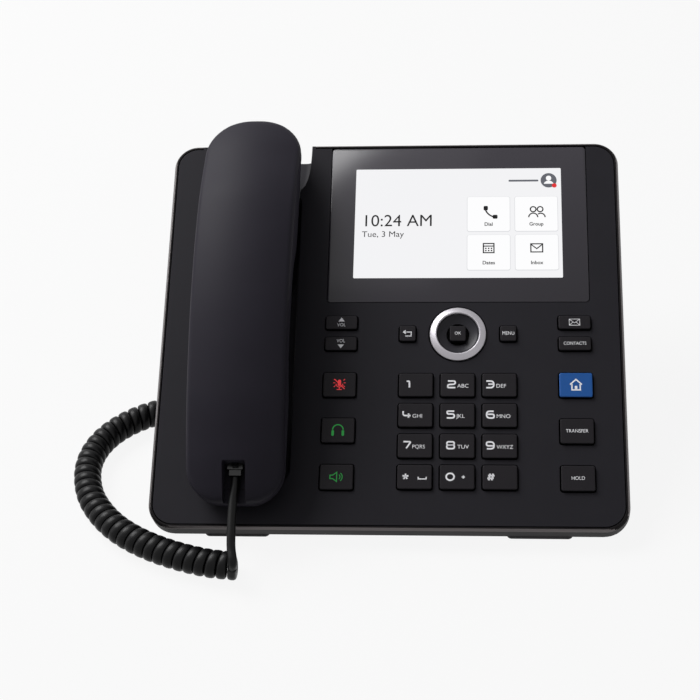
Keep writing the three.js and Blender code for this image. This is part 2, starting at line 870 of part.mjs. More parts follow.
// Jack housing hung under the board, open towards the front.
function jackBody(u, width, height, depth) {
  return solid(block(
    u - width / 2,
    u + width / 2,
    jackWallFront,
    jackWallFront + depth,
    -jackTop - height,
    -jackTop,
  ));
}

function plugCavity(u, front, depth, middle) {
  const half = plugWidth / 2 + plugClearance;
  const bottom = middle - plugHeight / 2 - plugClearance;
  const top = middle + plugHeight / 2 + plugClearance;
  const cavity = solid(block(u - half, u + half, front - overrun, front + depth, bottom, top));
  const slotHalf = latchWidth / 2 + plugClearance;
  const slotTop = top + latchThickness + plugClearance;
  return cavity.add(solid(block(u - slotHalf, u + slotHalf, front - overrun, front + depth,
    middle, slotTop)));
}

const cordJackMiddle = -jackTop - cordJackHeight / 2;
function cordJack(u) {
  return jackBody(u, cordJackWidth, cordJackHeight, cordJackDepth).subtract(
    plugCavity(u, jackWallFront, plugLength - basePlugProud + seatGap * 2, cordJackMiddle),
  );
}

function networkJacks() {
  let body = jackBody(networkJackU, networkJackWidth, networkJackHeight, networkJackDepth);
  const low = -jackTop - networkJackHeight + jackMouthMargin;
  for (const side of [-1, 1]) {
    const u = networkJackU + side * networkPortPitch / 2;
    const half = networkPortWidth / 2;
    body = body.subtract(solid(block(u - half, u + half, jackWallFront - overrun,
      jackWallFront + networkPortDepth, low, low + networkPortHeight)));
    const slot = latchSlotWidth / 2;
    body = body.subtract(solid(block(u - slot, u + slot, jackWallFront - overrun,
      jackWallFront + networkPortDepth, low, low + networkPortHeight + latchSlotHeight)));
  }
  return body;
}

function powerJack() {
  const middle = -jackTop - powerJackHeight / 2;
  const bore = new THREE.CylinderGeometry(powerBoreRadius, powerBoreRadius,
    powerBoreDepth + overrun, smallRoundSides);
  const pin = new THREE.CylinderGeometry(powerPinRadius, powerPinRadius,
    powerBoreDepth, smallRoundSides / 2);
  bore.translate(powerJackU, jackWallFront + (powerBoreDepth - overrun) / 2, middle);
  pin.translate(powerJackU, jackWallFront + powerBoreDepth / 2 + overrun / 2, middle);
  return jackBody(powerJackU, powerJackWidth, powerJackHeight, powerJackDepth)
    .subtract(solid(bore)).add(solid(pin));
}

// Modular plug lying along v: rear end at the given place, nose towards +v, latch on top.
function modularPlug(u, rear, middle) {
  const nose = rear + plugLength;
  const body = solid(block(u - plugWidth / 2, u + plugWidth / 2, rear + plugTail, nose,
    middle - plugHeight / 2, middle + plugHeight / 2));
  const tail = solid(block(
    u - plugWidth / 2 + plugTailInset,
    u + plugWidth / 2 - plugTailInset,
    rear,
    nose - plugTail,
    middle - plugHeight / 2 + plugTailInset,
    middle + plugHeight / 2 - plugTailInset,
  ));
  const top = middle + plugHeight / 2;
  const latch = solid(sideways([
    [nose - overrun, top - overrun],
    [nose - overrun, top + latchThickness / 2],
    [nose - latchLength, top + latchThickness * 2],
    [nose - latchLength, top + latchThickness],
    [nose - overrun * 2, top - overrun],
  ], u - latchWidth / 2, u + latchWidth / 2));
  return body.add(tail).add(latch);
}

// Handset body: crowned outside, arched handle and rounded ends, a little narrower towards the
// mouth end, grown inwards by an inset.
function handsetVolume(inset) {
  const low = handsetLow + inset;
  const high = handsetHigh - inset;
  const full = handsetMiddle - inset;
  const stations = [];
  for (let step = 0; step < handsetEndSteps; step += 1) {
    const angle = ((step + 0.35) / handsetEndSteps) * quarterTurn;
    stations.push([
      low + handsetLowCorner * (1 - Math.cos(angle)) - handsetLowCorner * (1 - Math.cos(0.1)),
      full - handsetLowCorner * (1 - Math.sin(angle)),
    ]);
  }
  const midLow = low + handsetLowCorner;
  const midHigh = high - handsetHighCorner;
  for (let step = 0; step <= handsetMidSteps; step += 1) {
    stations.push([midLow + (midHigh - midLow) * (step / handsetMidSteps), full]);
  }
  for (let step = handsetEndSteps - 1; step >= 0; step -= 1) {
    const angle = ((step + 0.35) / handsetEndSteps) * quarterTurn;
    stations.push([
      high - handsetHighCorner * (1 - Math.cos(angle)),
      full - handsetHighCorner * (1 - Math.sin(angle)),
    ]);
  }
  const rings = stations.map(([v, half]) => {
    const share = (v - handsetLow) / (handsetHigh - handsetLow);
    const crown = handsetCrown * along(crownShares, share) - inset;
    const belly = handsetCrown * along(bellyShares, share) + inset;
    const sag = (x) => crown - handsetSag * (x / handsetMiddle) ** 2;
    const points = [];
    for (let step = 0; step <= handsetCrownSteps; step += 1) {
      const x = (half - handsetEdge) * (1 - (2 * step) / handsetCrownSteps);
      points.push([x, sag(x)]);
    }
    points.push([-half, sag(half) - handsetEdgeDrop]);
    points.push([-half + handsetSideDraft, belly + handsetBellyRound]);
    points.push([-half + handsetSideDraft + handsetBellyRound, belly]);
    points.push([half - handsetSideDraft - handsetBellyRound, belly]);
    points.push([half - handsetSideDraft, belly + handsetBellyRound]);
    points.push([half, sag(half) - handsetEdgeDrop]);
    const taper = handsetMouthShare + (1 - handsetMouthShare) * share;
    return points.map(([x, w]) => new THREE.Vector3(handsetU + x * taper, v, w)).reverse();
  });
  return solid(loft(rings));
}

const earBoss = {
  u: handsetU,
  v: (earBossLow + earBossHigh) / 2,
  width: earBossWidth,
  height: earBossHigh - earBossLow,
  corner: earBossCorner,
};
const mouthBoss = {
  u: handsetU,
  v: (mouthBossLow + mouthBossHigh) / 2,
  width: mouthBossWidth,
  height: mouthBossHigh - mouthBossLow,
  corner: mouthBossCorner,
};

function bossVolume(place, depth, inset) {
  return solid(stack(place, [
    [-inset - bossEdge, -depth + inset],
    [-inset, -depth + inset + bossEdge],
    [-inset, bossRoot],
  ], cornerSteps));
}

const plugMiddle = pocketFloor + plugHeight / 2 + plugClearance;
const plugRear = pocketHigh - basePlugProud;

// Both handset shells share one hollow body with its cord pocket and sound holes.
function handsetHollow() {
  const full = handsetVolume(0);
  let body = full.add(bossVolume(earBoss, earBossDepth, 0));
  body = body.add(bossVolume(mouthBoss, mouthBossDepth, 0));
  body = body.subtract(handsetVolume(handsetWall));
  body = body.subtract(bossVolume(earBoss, earBossDepth, handsetWall));
  body = body.subtract(bossVolume(mouthBoss, mouthBossDepth, handsetWall));
  const half = pocketWidth / 2;
  const pocketShell = solid(block(handsetU - half - pocketWall, handsetU + half + pocketWall,
    handsetLow, pocketHigh + pocketWall, 0, handsetCrown));
  body = body.add(pocketShell.intersect(full));
  body = body.subtract(solid(block(handsetU - half, handsetU + half, handsetLow - overrun,
    pocketHigh, pocketFloor, handsetCrown)));
  body = body.subtract(plugCavity(handsetU, pocketHigh, pocketWall + overrun, plugMiddle));
  for (const place of mirrored(soundHoleRows)) {
    const slot = {
      u: handsetU,
      v: receiverV + place * soundHolePitch,
      width: soundHoleLength,
      height: soundHoleWidth,
      corner: soundHoleWidth / 2 - weldTolerance,
    };
    body = body.subtract(solid(slab(slot, -earBossDepth - overrun,
      -earBossDepth + handsetWall + seatGap)));
    const micSlot = {
      ...slot, v: micV + place * micHolePitch, width: micHoleLength,
    };
    body = body.subtract(solid(slab(micSlot, -mouthBossDepth - overrun,
      -mouthBossDepth + handsetWall + seatGap)));
  }
  return body;
}

// Everything above, or below, the parting line that follows the arch of the handset.
function partingVolume(above) {
  const length = handsetHigh - handsetLow;
  const shift = above ? seatGap / 2 : -seatGap / 2;
  const line = [];
  for (let step = 0; step <= handsetPartingSteps; step += 1) {
    const share = step / handsetPartingSteps;
    const w = handsetCrown * along(crownShares, share) - handsetSag - handsetPartingDrop;
    line.push([handsetLow + length * share, w + shift]);
  }
  const first = line[0];
  const last = line[line.length - 1];
  const far = above ? handsetCrown + overrun : -handsetCrown;
  const outline = [
    [first[0] - overrun, first[1]],
    ...line,
    [last[0] + overrun, last[1]],
    [last[0] + overrun, far],
    [first[0] - overrun, far],
  ];
  return solid(sideways(outline, handsetU - handsetWidth, handsetU + handsetWidth));
}

function handsetSocket() {
  const front = pocketHigh + pocketWall + seatGap;
  const half = socketWidth / 2;
  const low = plugMiddle - plugHeight / 2 - plugClearance * 2 - seatGap * 2;
  const body = solid(block(handsetU - half, handsetU + half, front, front + socketDepth,
    low, low + socketHeight));
  const depth = plugRear + plugLength + seatGap * 2 - front;
  return body.subtract(plugCavity(handsetU, front, depth, plugMiddle));
}

function capsule(radius, magnetRadius, u, v, low, depth, magnetDepth) {
  const top = low + depth;
  return solid(post(radius, u, v, low, top, roundSides))
    .add(solid(post(magnetRadius, u, v, low, top + magnetDepth, smallRoundSides)));
}

function speakerDriver() {
  const top = -troughDepth - wellWall - seatGap;
  const rim = speakerDiameter / 2;
  const magnet = speakerMagnetDiameter / 2;
  const profile = [
    [0, top - speakerDepth],
    [magnet, top - speakerDepth],
    [magnet, top - speakerDepth / 2],
    [rim - speakerRimDepth, top - speakerRimDepth],
    [rim, top - speakerRimDepth],
    [rim, top],
    [0, top],
  ];
  return new THREE.LatheGeometry(
    profile.map(([radius, w]) => new THREE.Vector2(radius, w)),
    roundSides,
  ).rotateX(quarterTurn).translate(handsetU, slotCentreV, 0);
}

function hookPlunger() {
  const top = -earBossDepth - seatGap;
  const under = -earWellDepth - wellWall - plungerTravel - seatGap * 2;
  return stack(plungerPlace, [
    [plungerFlange, under - plungerFlangeDepth],
    [plungerFlange, under],
    [0, under],
    [0, top - keyEdge],
    [-keyEdge, top],
  ]);
}

// Tube through a list of centres with a given number of sides, closed at both ends.
function tube(centres, radius, sides) {
  const rings = [];
  let normal = new THREE.Vector3(1, 0, 0);
  centres.forEach((centre, at) => {
    const before = centres[Math.max(at - 1, 0)];
    const after = centres[Math.min(at + 1, centres.length - 1)];
    const direction = after.clone().sub(before).normalize();
    normal = normal.clone().addScaledVector(direction, -normal.dot(direction)).normalize();
    const side = direction.clone().cross(normal);
    const ring = [];
    for (let step = 0; step < sides; step += 1) {
      const angle = (step / sides) * Math.PI * 2;
      ring.push(centre.clone()
        .addScaledVector(normal, radius * Math.cos(angle))
        .addScaledVector(side, radius * Math.sin(angle)));
    }
    rings.push(ring);
  });
  return loft(rings);
}

const curlRadius = (curlOuterDiameter - wireDiameter) / 2;
const curlHeight = curlOuterDiameter / 2 + curlClearance;
const curlCurve = new THREE.CatmullRomCurve3(
  curlAxis.map(([x, y]) => new THREE.Vector3(x * routeScale, y, curlHeight)),
  false,
  'centripetal',
);
const curlLength = curlCurve.getLength();
const up = new THREE.Vector3(0, 0, 1);

function curlPoint(turns) {
  const share = turns / curlCount;
  const centre = curlCurve.getPointAt(share);
  const forward = curlCurve.getTangentAt(share);
  const right = forward.clone().cross(up).normalize();
  const angle = turns * Math.PI * 2;
  return centre.addScaledVector(right, -curlRadius * Math.cos(angle))
    .addScaledVector(up, -curlRadius * Math.sin(angle));
}

const probe = 0.001;
function curlDirection(turns, step) {
  return curlPoint(turns + step).sub(curlPoint(turns)).normalize();
}

const curlPoints = [];
const curlStepCount = Math.round(curlCount * curlSteps);
for (let step = 0; step <= curlStepCount; step += 1) {
  curlPoints.push(curlPoint((step / curlStepCount) * curlCount));
}

// Least gap between turns, measured on the points of the helix.
let leastGap = Infinity;
curlPoints.forEach((point, at) => {
  for (let other = at + curlSteps / 2; other < curlPoints.length; other += 1) {
    leastGap = Math.min(leastGap, point.distanceTo(curlPoints[other]) - wireDiameter);
  }
});
const curlPitch = curlLength / curlCount;
console.log('curl pitch', curlPitch.toFixed(3), 'least gap between curls', leastGap.toFixed(3));

// The round lead from the handset plug down to the first curl.
const leadStart = toTable(handsetU, plugRear - seatGap, plugMiddle);
const leadRun = toTable(handsetU, plugRear - seatGap - wireDiameter, plugMiddle);
const curlStart = curlPoint(0);
const startDirection = curlDirection(0, probe);
const curlEntry = curlStart.clone().addScaledVector(startDirection, -wireDiameter);
const leadEnd = curlEntry.clone().addScaledVector(startDirection, -seatGap);
const leadEndRun = leadEnd.clone().addScaledVector(startDirection, -wireDiameter);
const handsetLeadCurve = new THREE.CatmullRomCurve3([
  leadStart,
  leadRun,
  ...handsetLeadRoute.map(([x, y, z]) => new THREE.Vector3(x * routeScale, y, z)),
  leadEndRun,
  leadEnd,
], false, 'centripetal');

const curlEnd = curlPoint(curlCount);
const endDirection = curlDirection(curlCount, -probe).negate();
const curlExit = curlEnd.clone().addScaledVector(endDirection, wireDiameter);
const basePlugRear = jackWallFront - basePlugProud;
const rearEnd = toTable(handsetJackU, basePlugRear - seatGap, cordJackMiddle);
const rearEndRun = toTable(handsetJackU, basePlugRear - seatGap - wireDiameter, cordJackMiddle);
const rearLeadCurve = new THREE.CatmullRomCurve3([
  curlExit,
  ...rearLeadRoute.map(([x, y, z]) => new THREE.Vector3(x * routeScale, y, z)),
  rearEndRun,
  rearEnd,
], false, 'centripetal');

function curlyCord() {
  const centres = [
    curlEntry,
    ...curlPoints,
    ...rearLeadCurve.getSpacedPoints(rearLeadSteps),
  ];
  return tube(centres, wireDiameter / 2, wireSides);
}

function wireLength(points) {
  return points.slice(1).reduce((sum, point, at) => sum + point.distanceTo(points[at]), 0);
}
console.log('wire in curls', wireLength(curlPoints).toFixed(1),
  'handset lead', handsetLeadCurve.getLength().toFixed(1),
  'rear lead', rearLeadCurve.getLength().toFixed(1));

// Finishes
const finishes = {
  cover: { color: 0x2b2a2f, roughness: 0.5, metalness: 0 },
  trim: { color: 0x3c3a3a, roughness: 0.32, metalness: 0.7 },
  shell: { color: 0x1a1a1d, roughness: 0.42, metalness: 0 },
  key: { color: 0x242327, roughness: 0.45, metalness: 0 },
  blue: { color: 0x1a55a0, roughness: 0.4, metalness: 0 },
  glass: { color: 0x34333a, roughness: 0.08, metalness: 0 },
  silver: { color: 0xb4b2b8, roughness: 0.28, metalness: 1 },
  rubber: { color: 0x151516, roughness: 0.85, metalness: 0 },
  cord: { color: 0x141416, roughness: 0.4, metalness: 0 },
  board: { color: 0x1f5a37, roughness: 0.6, metalness: 0 },
  metal: { color: 0x9a9a9c, roughness: 0.35, metalness: 1 },
  clear: { color: 0x8f9296, roughness: 0.15, metalness: 0 },
};

const phone = new THREE.Group();
const face = new THREE.Group();
face.rotation.x = tilt;
face.position.z = faceLift;
phone.add(face);

function addTo(parent, name, shape, finish) {
  const geometry = shape.isBufferGeometry ? shape : skin(shape);
  const mesh = new THREE.Mesh(geometry, new THREE.MeshStandardMaterial(finishes[finish]));
  mesh.name = name;
  parent.add(mesh);
  return mesh;
}

addTo(face, 'top_cover', topCover(), 'cover');
addTo(face, 'trim_frame', trimFrame(), 'trim');
addTo(face, 'rear_cover', rearCover(), 'cover');
addTo(face, 'stand', stand(), 'cover');
addTo(face, 'display_glass', stack(glass, [
  [0, -glassThickness],
  [0, -glassEdge],
  [-glassEdge, 0],
]), 'glass');
addTo(face, 'display_module', slab({
  ...screen, width: panelWidth, height: panelHeight, corner: panelCorner,
}, -keySeat - panelDepth, -keySeat), 'metal');
for (const place of keyPlaces) addTo(face, place.name, keySolid(place, keySeat), place.colour);
addTo(face, 'ok_key', keySolid({
  u: dialKeyU, v: rockerV, width: squareKeySize, height: squareKeySize, corner: keyCorner,
}, okFlangeTop), 'key');
addTo(face, 'nav_ring', revolved([
  [ringInnerRadius, -ringFoot],
  [ringOuterRadius, -ringFoot],
  [ringOuterRadius, ringSideProud],
  [ringInnerRadius + ringRound, ringProud],
  [ringInnerRadius, ringProud - ringRound],
], dialKeyU, rockerV), 'silver');
addTo(face, 'nav_dish', revolved([
  [dishHoleRadius, -dishHubBase],
  [dishHubRadius, -dishHubBase],
  [dishHubRadius, -dishBase],
  [ringOuterRadius, -dishBase],
  [ringOuterRadius, -ringFoot - seatGap],
  [dishRimRadius, -ringFoot - seatGap],
  [dishRimRadius, dishRimProud],
  [(dishRimRadius + dishHoleRadius) / 2, (dishRimProud - dishHoleDepth * 2) / 2],
  [dishHoleRadius, -dishHoleDepth],
], dialKeyU, rockerV), 'key');
const carrierTop = -dishHubBase - seatGap;
addTo(face, 'nav_carrier', revolved([
  [carrierInnerRadius, carrierTop - carrierThickness],
  [carrierOuterRadius, carrierTop - carrierThickness],
  [carrierOuterRadius, carrierTop],
  [carrierInnerRadius, carrierTop],
], dialKeyU, rockerV), 'clear');
addTo(face, 'key_mat', slab({
  u: (matLeft + matRight) / 2,
  v: (matLow + matHigh) / 2,
  width: matRight - matLeft,
  height: matHigh - matLow,
  corner: boardCorner,
}, -matTop - matThickness, -matTop), 'rubber');
addTo(face, 'main_board', slab({
  u: (boardLeft + boardRight) / 2,
  v: (boardLow + boardHigh) / 2,
  width: boardRight - boardLeft,
  height: boardHigh - boardLow,
  corner: boardCorner,
}, -boardTop - boardThickness, -boardTop), 'board');
addTo(face, 'speaker_driver', speakerDriver(), 'metal');
addTo(face, 'hook_plunger', hookPlunger(), 'key');
addTo(face, 'handset_jack', cordJack(handsetJackU), 'shell');
addTo(face, 'headset_jack', cordJack(headsetJackU), 'shell');
addTo(face, 'network_jacks', networkJacks(), 'metal');
addTo(face, 'power_jack', powerJack(), 'shell');

const hollow = handsetHollow();
addTo(face, 'handset_outer_shell', hollow.intersect(partingVolume(true)), 'shell');
addTo(face, 'handset_inner_shell', hollow.intersect(partingVolume(false)), 'shell');
addTo(face, 'handset_socket', handsetSocket(), 'clear');
addTo(face, 'receiver', capsule(
  receiverDiameter / 2,
  receiverMagnetDiameter / 2,
  handsetU,
  receiverV,
  -earBossDepth + handsetWall + seatGap,
  receiverDepth,
  receiverMagnetDepth,
), 'metal');
addTo(face, 'microphone', post(
  micDiameter / 2,
  handsetU,
  micV,
  -mouthBossDepth + handsetWall + seatGap,
  -mouthBossDepth + handsetWall + seatGap + micDepth,
), 'metal');
addTo(face, 'handset_plug', modularPlug(handsetU, plugRear, plugMiddle), 'clear');
addTo(face, 'base_plug', modularPlug(handsetJackU, basePlugRear, cordJackMiddle), 'clear');

for (const side of [-1, 1]) {
  const sideName = side < 0 ? 'left' : 'right';
  addTo(phone, `front_foot_${sideName}`, slab({
    u: side * footX,
    v: footFrontY + footDepth / 2,
    width: footWidth,
    height: footDepth,
    corner: footCorner,
  }, 0, footThickness), 'rubber');
  addTo(phone, `stand_foot_${sideName}`, slab({
    u: side * standFootX,
    v: standHeelY - standFootInset - standFootDepth / 2,
    width: standFootWidth,
    height: standFootDepth,
    corner: footCorner,
  }, 0, footThickness), 'rubber');
}

// The origin is under the middle of the standing phone, the cord left aside.
phone.updateMatrixWorld(true);
const reach = new THREE.Box3().setFromObject(phone, true);
const middleY = (reach.min.y + reach.max.y) / 2;
addTo(phone, 'handset_lead', tube(
  handsetLeadCurve.getSpacedPoints(leadSteps),
  wireDiameter / 2,
  leadSides,
), 'cord');
addTo(phone, 'curly_cord', curlyCord(), 'cord');
phone.position.y = -middleY;
console.log('middle of the phone behind the face edge', middleY.toFixed(4));

export default phone;
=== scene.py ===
# A tilted desk phone with a wide display, a keypad, a lift-off handset and a curly cord.
import json
import math

import bmesh
import bpy
import numpy as np
from mathutils import Matrix, Vector

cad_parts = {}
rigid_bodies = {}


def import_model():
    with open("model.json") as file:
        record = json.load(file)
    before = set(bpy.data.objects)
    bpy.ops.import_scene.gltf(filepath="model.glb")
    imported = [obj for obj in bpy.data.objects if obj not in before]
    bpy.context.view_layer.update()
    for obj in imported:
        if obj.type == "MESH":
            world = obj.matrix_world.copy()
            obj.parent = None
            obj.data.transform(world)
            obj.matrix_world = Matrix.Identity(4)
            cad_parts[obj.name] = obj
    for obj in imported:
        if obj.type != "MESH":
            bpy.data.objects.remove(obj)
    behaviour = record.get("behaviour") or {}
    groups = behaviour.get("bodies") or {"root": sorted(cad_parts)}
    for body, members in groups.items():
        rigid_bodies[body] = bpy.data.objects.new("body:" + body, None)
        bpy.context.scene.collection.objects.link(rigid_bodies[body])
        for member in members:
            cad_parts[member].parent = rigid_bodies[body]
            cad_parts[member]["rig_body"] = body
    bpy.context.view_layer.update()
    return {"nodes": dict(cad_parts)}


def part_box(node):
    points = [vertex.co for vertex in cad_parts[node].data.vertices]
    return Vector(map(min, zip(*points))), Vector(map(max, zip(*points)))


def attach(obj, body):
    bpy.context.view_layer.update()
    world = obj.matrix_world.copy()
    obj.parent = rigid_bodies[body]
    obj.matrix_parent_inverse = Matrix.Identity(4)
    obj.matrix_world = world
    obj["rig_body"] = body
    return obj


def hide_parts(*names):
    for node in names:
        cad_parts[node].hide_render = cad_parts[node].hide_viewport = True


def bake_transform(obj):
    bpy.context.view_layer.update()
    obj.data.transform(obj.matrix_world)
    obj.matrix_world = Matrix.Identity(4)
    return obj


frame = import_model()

# Camera, seen from in front and above, a little right of the middle of the phone.
# It looks slightly to the left, and the frame is moved so that the phone sits in it.
scene = bpy.context.scene
scene.view_settings.view_transform = "Standard"
camera_place = (0.045371, -0.581395, 0.536563)
camera_turn = (49.7696, 2.4046, 2.8392)
camera_data = bpy.data.cameras.new("camera")
camera_data.lens = 73.29
camera_data.sensor_width = 36.0
camera_data.shift_x = -0.05
camera = bpy.data.objects.new("camera", camera_data)
camera.location = camera_place
camera.rotation_euler = [math.radians(angle) for angle in camera_turn]
scene.collection.objects.link(camera)
scene.camera = camera

# Two-piece jacketed cord: a short round lead from the handset and the curly cord, which
# lies on the table, goes under the case and ends in the modular plug of the base.
# The routes are those of the construction, in millimetres from the lower edge of the face.
tilt = math.radians(30.0)
face_lift = 0.0123
face_edge_y = -0.0979558
wire_diameter = 0.0044
curl_outer = 0.0143
curl_clearance = 0.00012
curl_count = 48.25
curl_steps = 30
wire_flat_half = 0.00285
wire_square = 0.72
wire_sides = 16
wire_gap_share = 0.493
ease_turns = 0.4
lead_sides = 20
entry_steps = 4
lead_steps, rear_steps = 60, 90
route_steps = 40
seat_gap = 0.0003
handset_u = -0.0744
handset_plug_rear = 0.0205
handset_plug_middle = 0.01555
base_plug_u = -0.014
base_plug_rear = 0.086
base_plug_middle = -0.0165
curl_axis = [
    (-73.9, -23), (-86, -21.6), (-97, -18.9), (-108, -15.2), (-119, -10.4),
    (-129.5, -4.4), (-139.2, 3), (-147.6, 12), (-154.4, 22.2), (-158.8, 33.5),
    (-160.8, 45.5), (-159.6, 57), (-155.2, 67.5), (-148, 76.4), (-138.8, 83.4),
    (-128.2, 88.4), (-117, 91.6), (-105.5, 93.2), (-93, 93.4), (-80.5, 92.6),
    (-68, 91.2), (-55.5, 89.8), (-44, 88.6),
]
handset_lead_route = [(-74.9, 0.5, 30.6), (-75, -8, 26.4), (-74.7, -15.6, 22.8), (-74.2, -22.4, 19)]
rear_lead_route = [
    (-43.4, 76.6, 2.6), (-40.4, 71, 2.6), (-35, 67.4, 2.6), (-28, 65.6, 2.8), (-21.6, 66.2, 4.8),
    (-16.8, 68, 9.6), (-14.4, 70, 16), (-14, 71.6, 22.6), (-14, 74.2, 29),
]


def on_face(u, v, w):
    """A point of the tilted face frame, u right, v up the face and w out of it, in metres."""
    return Vector((
        u,
        face_edge_y + v * math.cos(tilt) - w * math.sin(tilt),
        face_lift + v * math.sin(tilt) + w * math.cos(tilt),
    ))


def on_table(x, y, z):
    """A point given in millimetres from the lower edge of the face, above the table."""
    return Vector((x / 1000, y / 1000 + face_edge_y, z / 1000))


face_outward = on_face(0, 0, 1) - on_face(0, 0, 0)


def smooth_route(points):
    """A centripetal spline through the points, as a dense list of points."""
    points = [np.array(p, float) for p in points]
    points = [2 * points[0] - points[1], *points, 2 * points[-1] - points[-2]]
    route = []
    for p0, p1, p2, p3 in zip(points, points[1:], points[2:], points[3:]):
        d0, d1, d2 = (math.sqrt(np.linalg.norm(b - a)) for a, b in ((p0, p1), (p1, p2), (p2, p3)))
        m1 = ((p1 - p0) / d0 - (p2 - p0) / (d0 + d1) + (p2 - p1) / d1) * d1
        m2 = ((p2 - p1) / d1 - (p3 - p1) / (d1 + d2) + (p3 - p2) / d2) * d1
        for step in range(route_steps):
            t = step / route_steps
            cubic = 2 * p1 - 2 * p2 + m1 + m2
            square = -3 * p1 + 3 * p2 - 2 * m1 - m2
            route.append(p1 + m1 * t + square * t ** 2 + cubic * t ** 3)
    route.append(points[-2])
    return np.array(route)


def evenly(route, shares):
    """Points of a dense route at shares of its length."""
    steps = np.linalg.norm(np.diff(route, axis=0), axis=1)
    places = np.concatenate([[0], np.cumsum(steps)])
    return np.array([np.interp(np.array(shares) * places[-1], places, route[:, k])
                     for k in range(3)]).T


def shown(name, data):
    """A piece of its own for a mesh or curve, put into the scene."""
    piece = bpy.data.objects.new(name, data)
    scene.collection.objects.link(piece)
    return piece


def mesh_piece(name, verts, faces):
    """A piece made of points and faces, with its place in its mesh."""
    mesh = bpy.data.meshes.new(name)
    mesh.from_pydata([tuple(v) for v in verts], [], faces)
    mesh.validate()
    mesh.shade_smooth()
    return shown(name, mesh)


def lofted_faces(rings, count):
    """Faces between rings of as many points each, with a cap at both ends."""
    faces = []
    for row in range(rings - 1):
        for step in range(count):
            a, b = row * count + step, row * count + (step + 1) % count
            faces.append((a, b, b + count, a + count))
    last = (rings - 1) * count
    return faces + [tuple(range(count - 1, -1, -1)), tuple(range(last, last + count))]


def tube_piece(name, centres, radius, sides, outwards=None, flat_half=None):
    """A closed tube along ring centres. A curled one is a soft square, flat against its turns."""
    centres = np.array(centres, float)
    forward = np.gradient(centres, axis=0)
    forward /= np.linalg.norm(forward, axis=1)[:, None]
    normal = np.array([1.0, 0.0, 0.0])
    verts = []
    for at, (centre, ahead) in enumerate(zip(centres, forward)):
        if outwards is not None:
            normal = outwards[at]
        normal = normal - ahead * normal.dot(ahead)
        normal /= np.linalg.norm(normal)
        side = np.cross(ahead, normal) * (flat_half[at] if flat_half is not None else radius)
        power = 1.0 if flat_half is None else wire_square
        for step in range(sides):
            angle = step / sides * math.tau
            out, along_turn = (math.copysign(abs(part) ** power, part)
                               for part in (math.cos(angle), math.sin(angle)))
            verts.append(centre + radius * normal * out + side * along_turn)
    return mesh_piece(name, verts, lofted_faces(len(centres), sides))


curl_radius = (curl_outer - wire_diameter) / 2
curl_height = curl_outer / 2 + curl_clearance
axis_route = smooth_route([on_table(x, y, curl_height * 1000) for x, y in curl_axis])


def curl_frame(turns):
    """Middle of the wire some turns along the curly cord, and its direction out of the curl."""
    share = min(max(turns / curl_count, 0), 1)
    span = 0.002
    centre, before, after = evenly(axis_route, [share, share - span, share + span])
    if share < span:
        before = centre
    if share > 1 - span:
        after = centre
    ahead = (after - before) / np.linalg.norm(after - before)
    right = np.cross(ahead, (0, 0, 1))
    angle = turns * math.tau
    outward = -right * math.cos(angle) - np.array((0, 0, math.sin(angle)))
    return centre + curl_radius * outward, outward


turn_list = np.linspace(0, curl_count, int(curl_count * curl_steps))
curl_frames = [curl_frame(turns) for turns in turn_list]
curl_points = np.array([point for point, outward in curl_frames])
curl_outwards = np.array([outward for point, outward in curl_frames])
turn_gaps = np.linalg.norm(curl_points[curl_steps:] - curl_points[:-curl_steps], axis=1)
curl_halves = np.minimum.reduce([
    np.full(len(turn_list), wire_flat_half),
    wire_gap_share * np.concatenate([turn_gaps, np.full(curl_steps, turn_gaps[-1])]),
    wire_gap_share * np.concatenate([np.full(curl_steps, turn_gaps[0]), turn_gaps]),
])
ease = np.clip(np.minimum(turn_list, curl_count - turn_list) / ease_turns, 0, 1)
curl_halves = wire_diameter / 2 + (curl_halves - wire_diameter / 2) * ease
start_ahead = curl_frame(0.001)[0] - curl_points[0]
start_ahead /= np.linalg.norm(start_ahead)
end_ahead = curl_points[-1] - curl_frame(curl_count - 0.001)[0]
end_ahead /= np.linalg.norm(end_ahead)
curl_entry = curl_points[0] - start_ahead * wire_diameter
curl_exit = curl_points[-1] + end_ahead * wire_diameter
lead_route = smooth_route([
    on_face(handset_u, handset_plug_rear - seat_gap, handset_plug_middle),
    on_face(handset_u, handset_plug_rear - seat_gap - wire_diameter, handset_plug_middle),
    *[on_table(*point) for point in handset_lead_route],
    curl_entry - start_ahead * wire_diameter,
    curl_entry,
])
rear_route = smooth_route([
    curl_exit,
    *[on_table(*point) for point in rear_lead_route],
    on_face(base_plug_u, base_plug_rear - seat_gap - wire_diameter, base_plug_middle),
    on_face(base_plug_u, base_plug_rear - seat_gap, base_plug_middle),
])
lead_points = evenly(lead_route, np.linspace(0, 1, lead_steps))
rear_points = evenly(rear_route, np.linspace(0, 1, rear_steps))
entry_points = np.linspace(curl_entry, curl_points[0], entry_steps + 1)[:-1]
cord_points = np.concatenate([entry_points, curl_points, rear_points])
cord_outwards = [*np.repeat(curl_outwards[:1], entry_steps, axis=0), *curl_outwards]
for before, after in zip(cord_points[len(cord_outwards) - 1:], cord_points[len(cord_outwards):]):
    ahead = (after - before) / np.linalg.norm(after - before)
    carried = cord_outwards[-1] - ahead * cord_outwards[-1].dot(ahead)
    cord_outwards.append(carried / np.linalg.norm(carried))
cord_halves = np.concatenate([np.full(entry_steps, wire_diameter / 2), curl_halves,
                              np.full(len(rear_points), wire_diameter / 2)])


def wired(tree, wires):
    """Joins outputs to inputs of the nodes of one tree, by name or number."""
    for source, output, target, socket in wires:
        tree.links.new(source.outputs[output], target.inputs[socket])


def filled(node, values):
    """The node with values on its own sockets."""
    for socket, value in values.items():
        node.inputs[socket].default_value = value
    return node


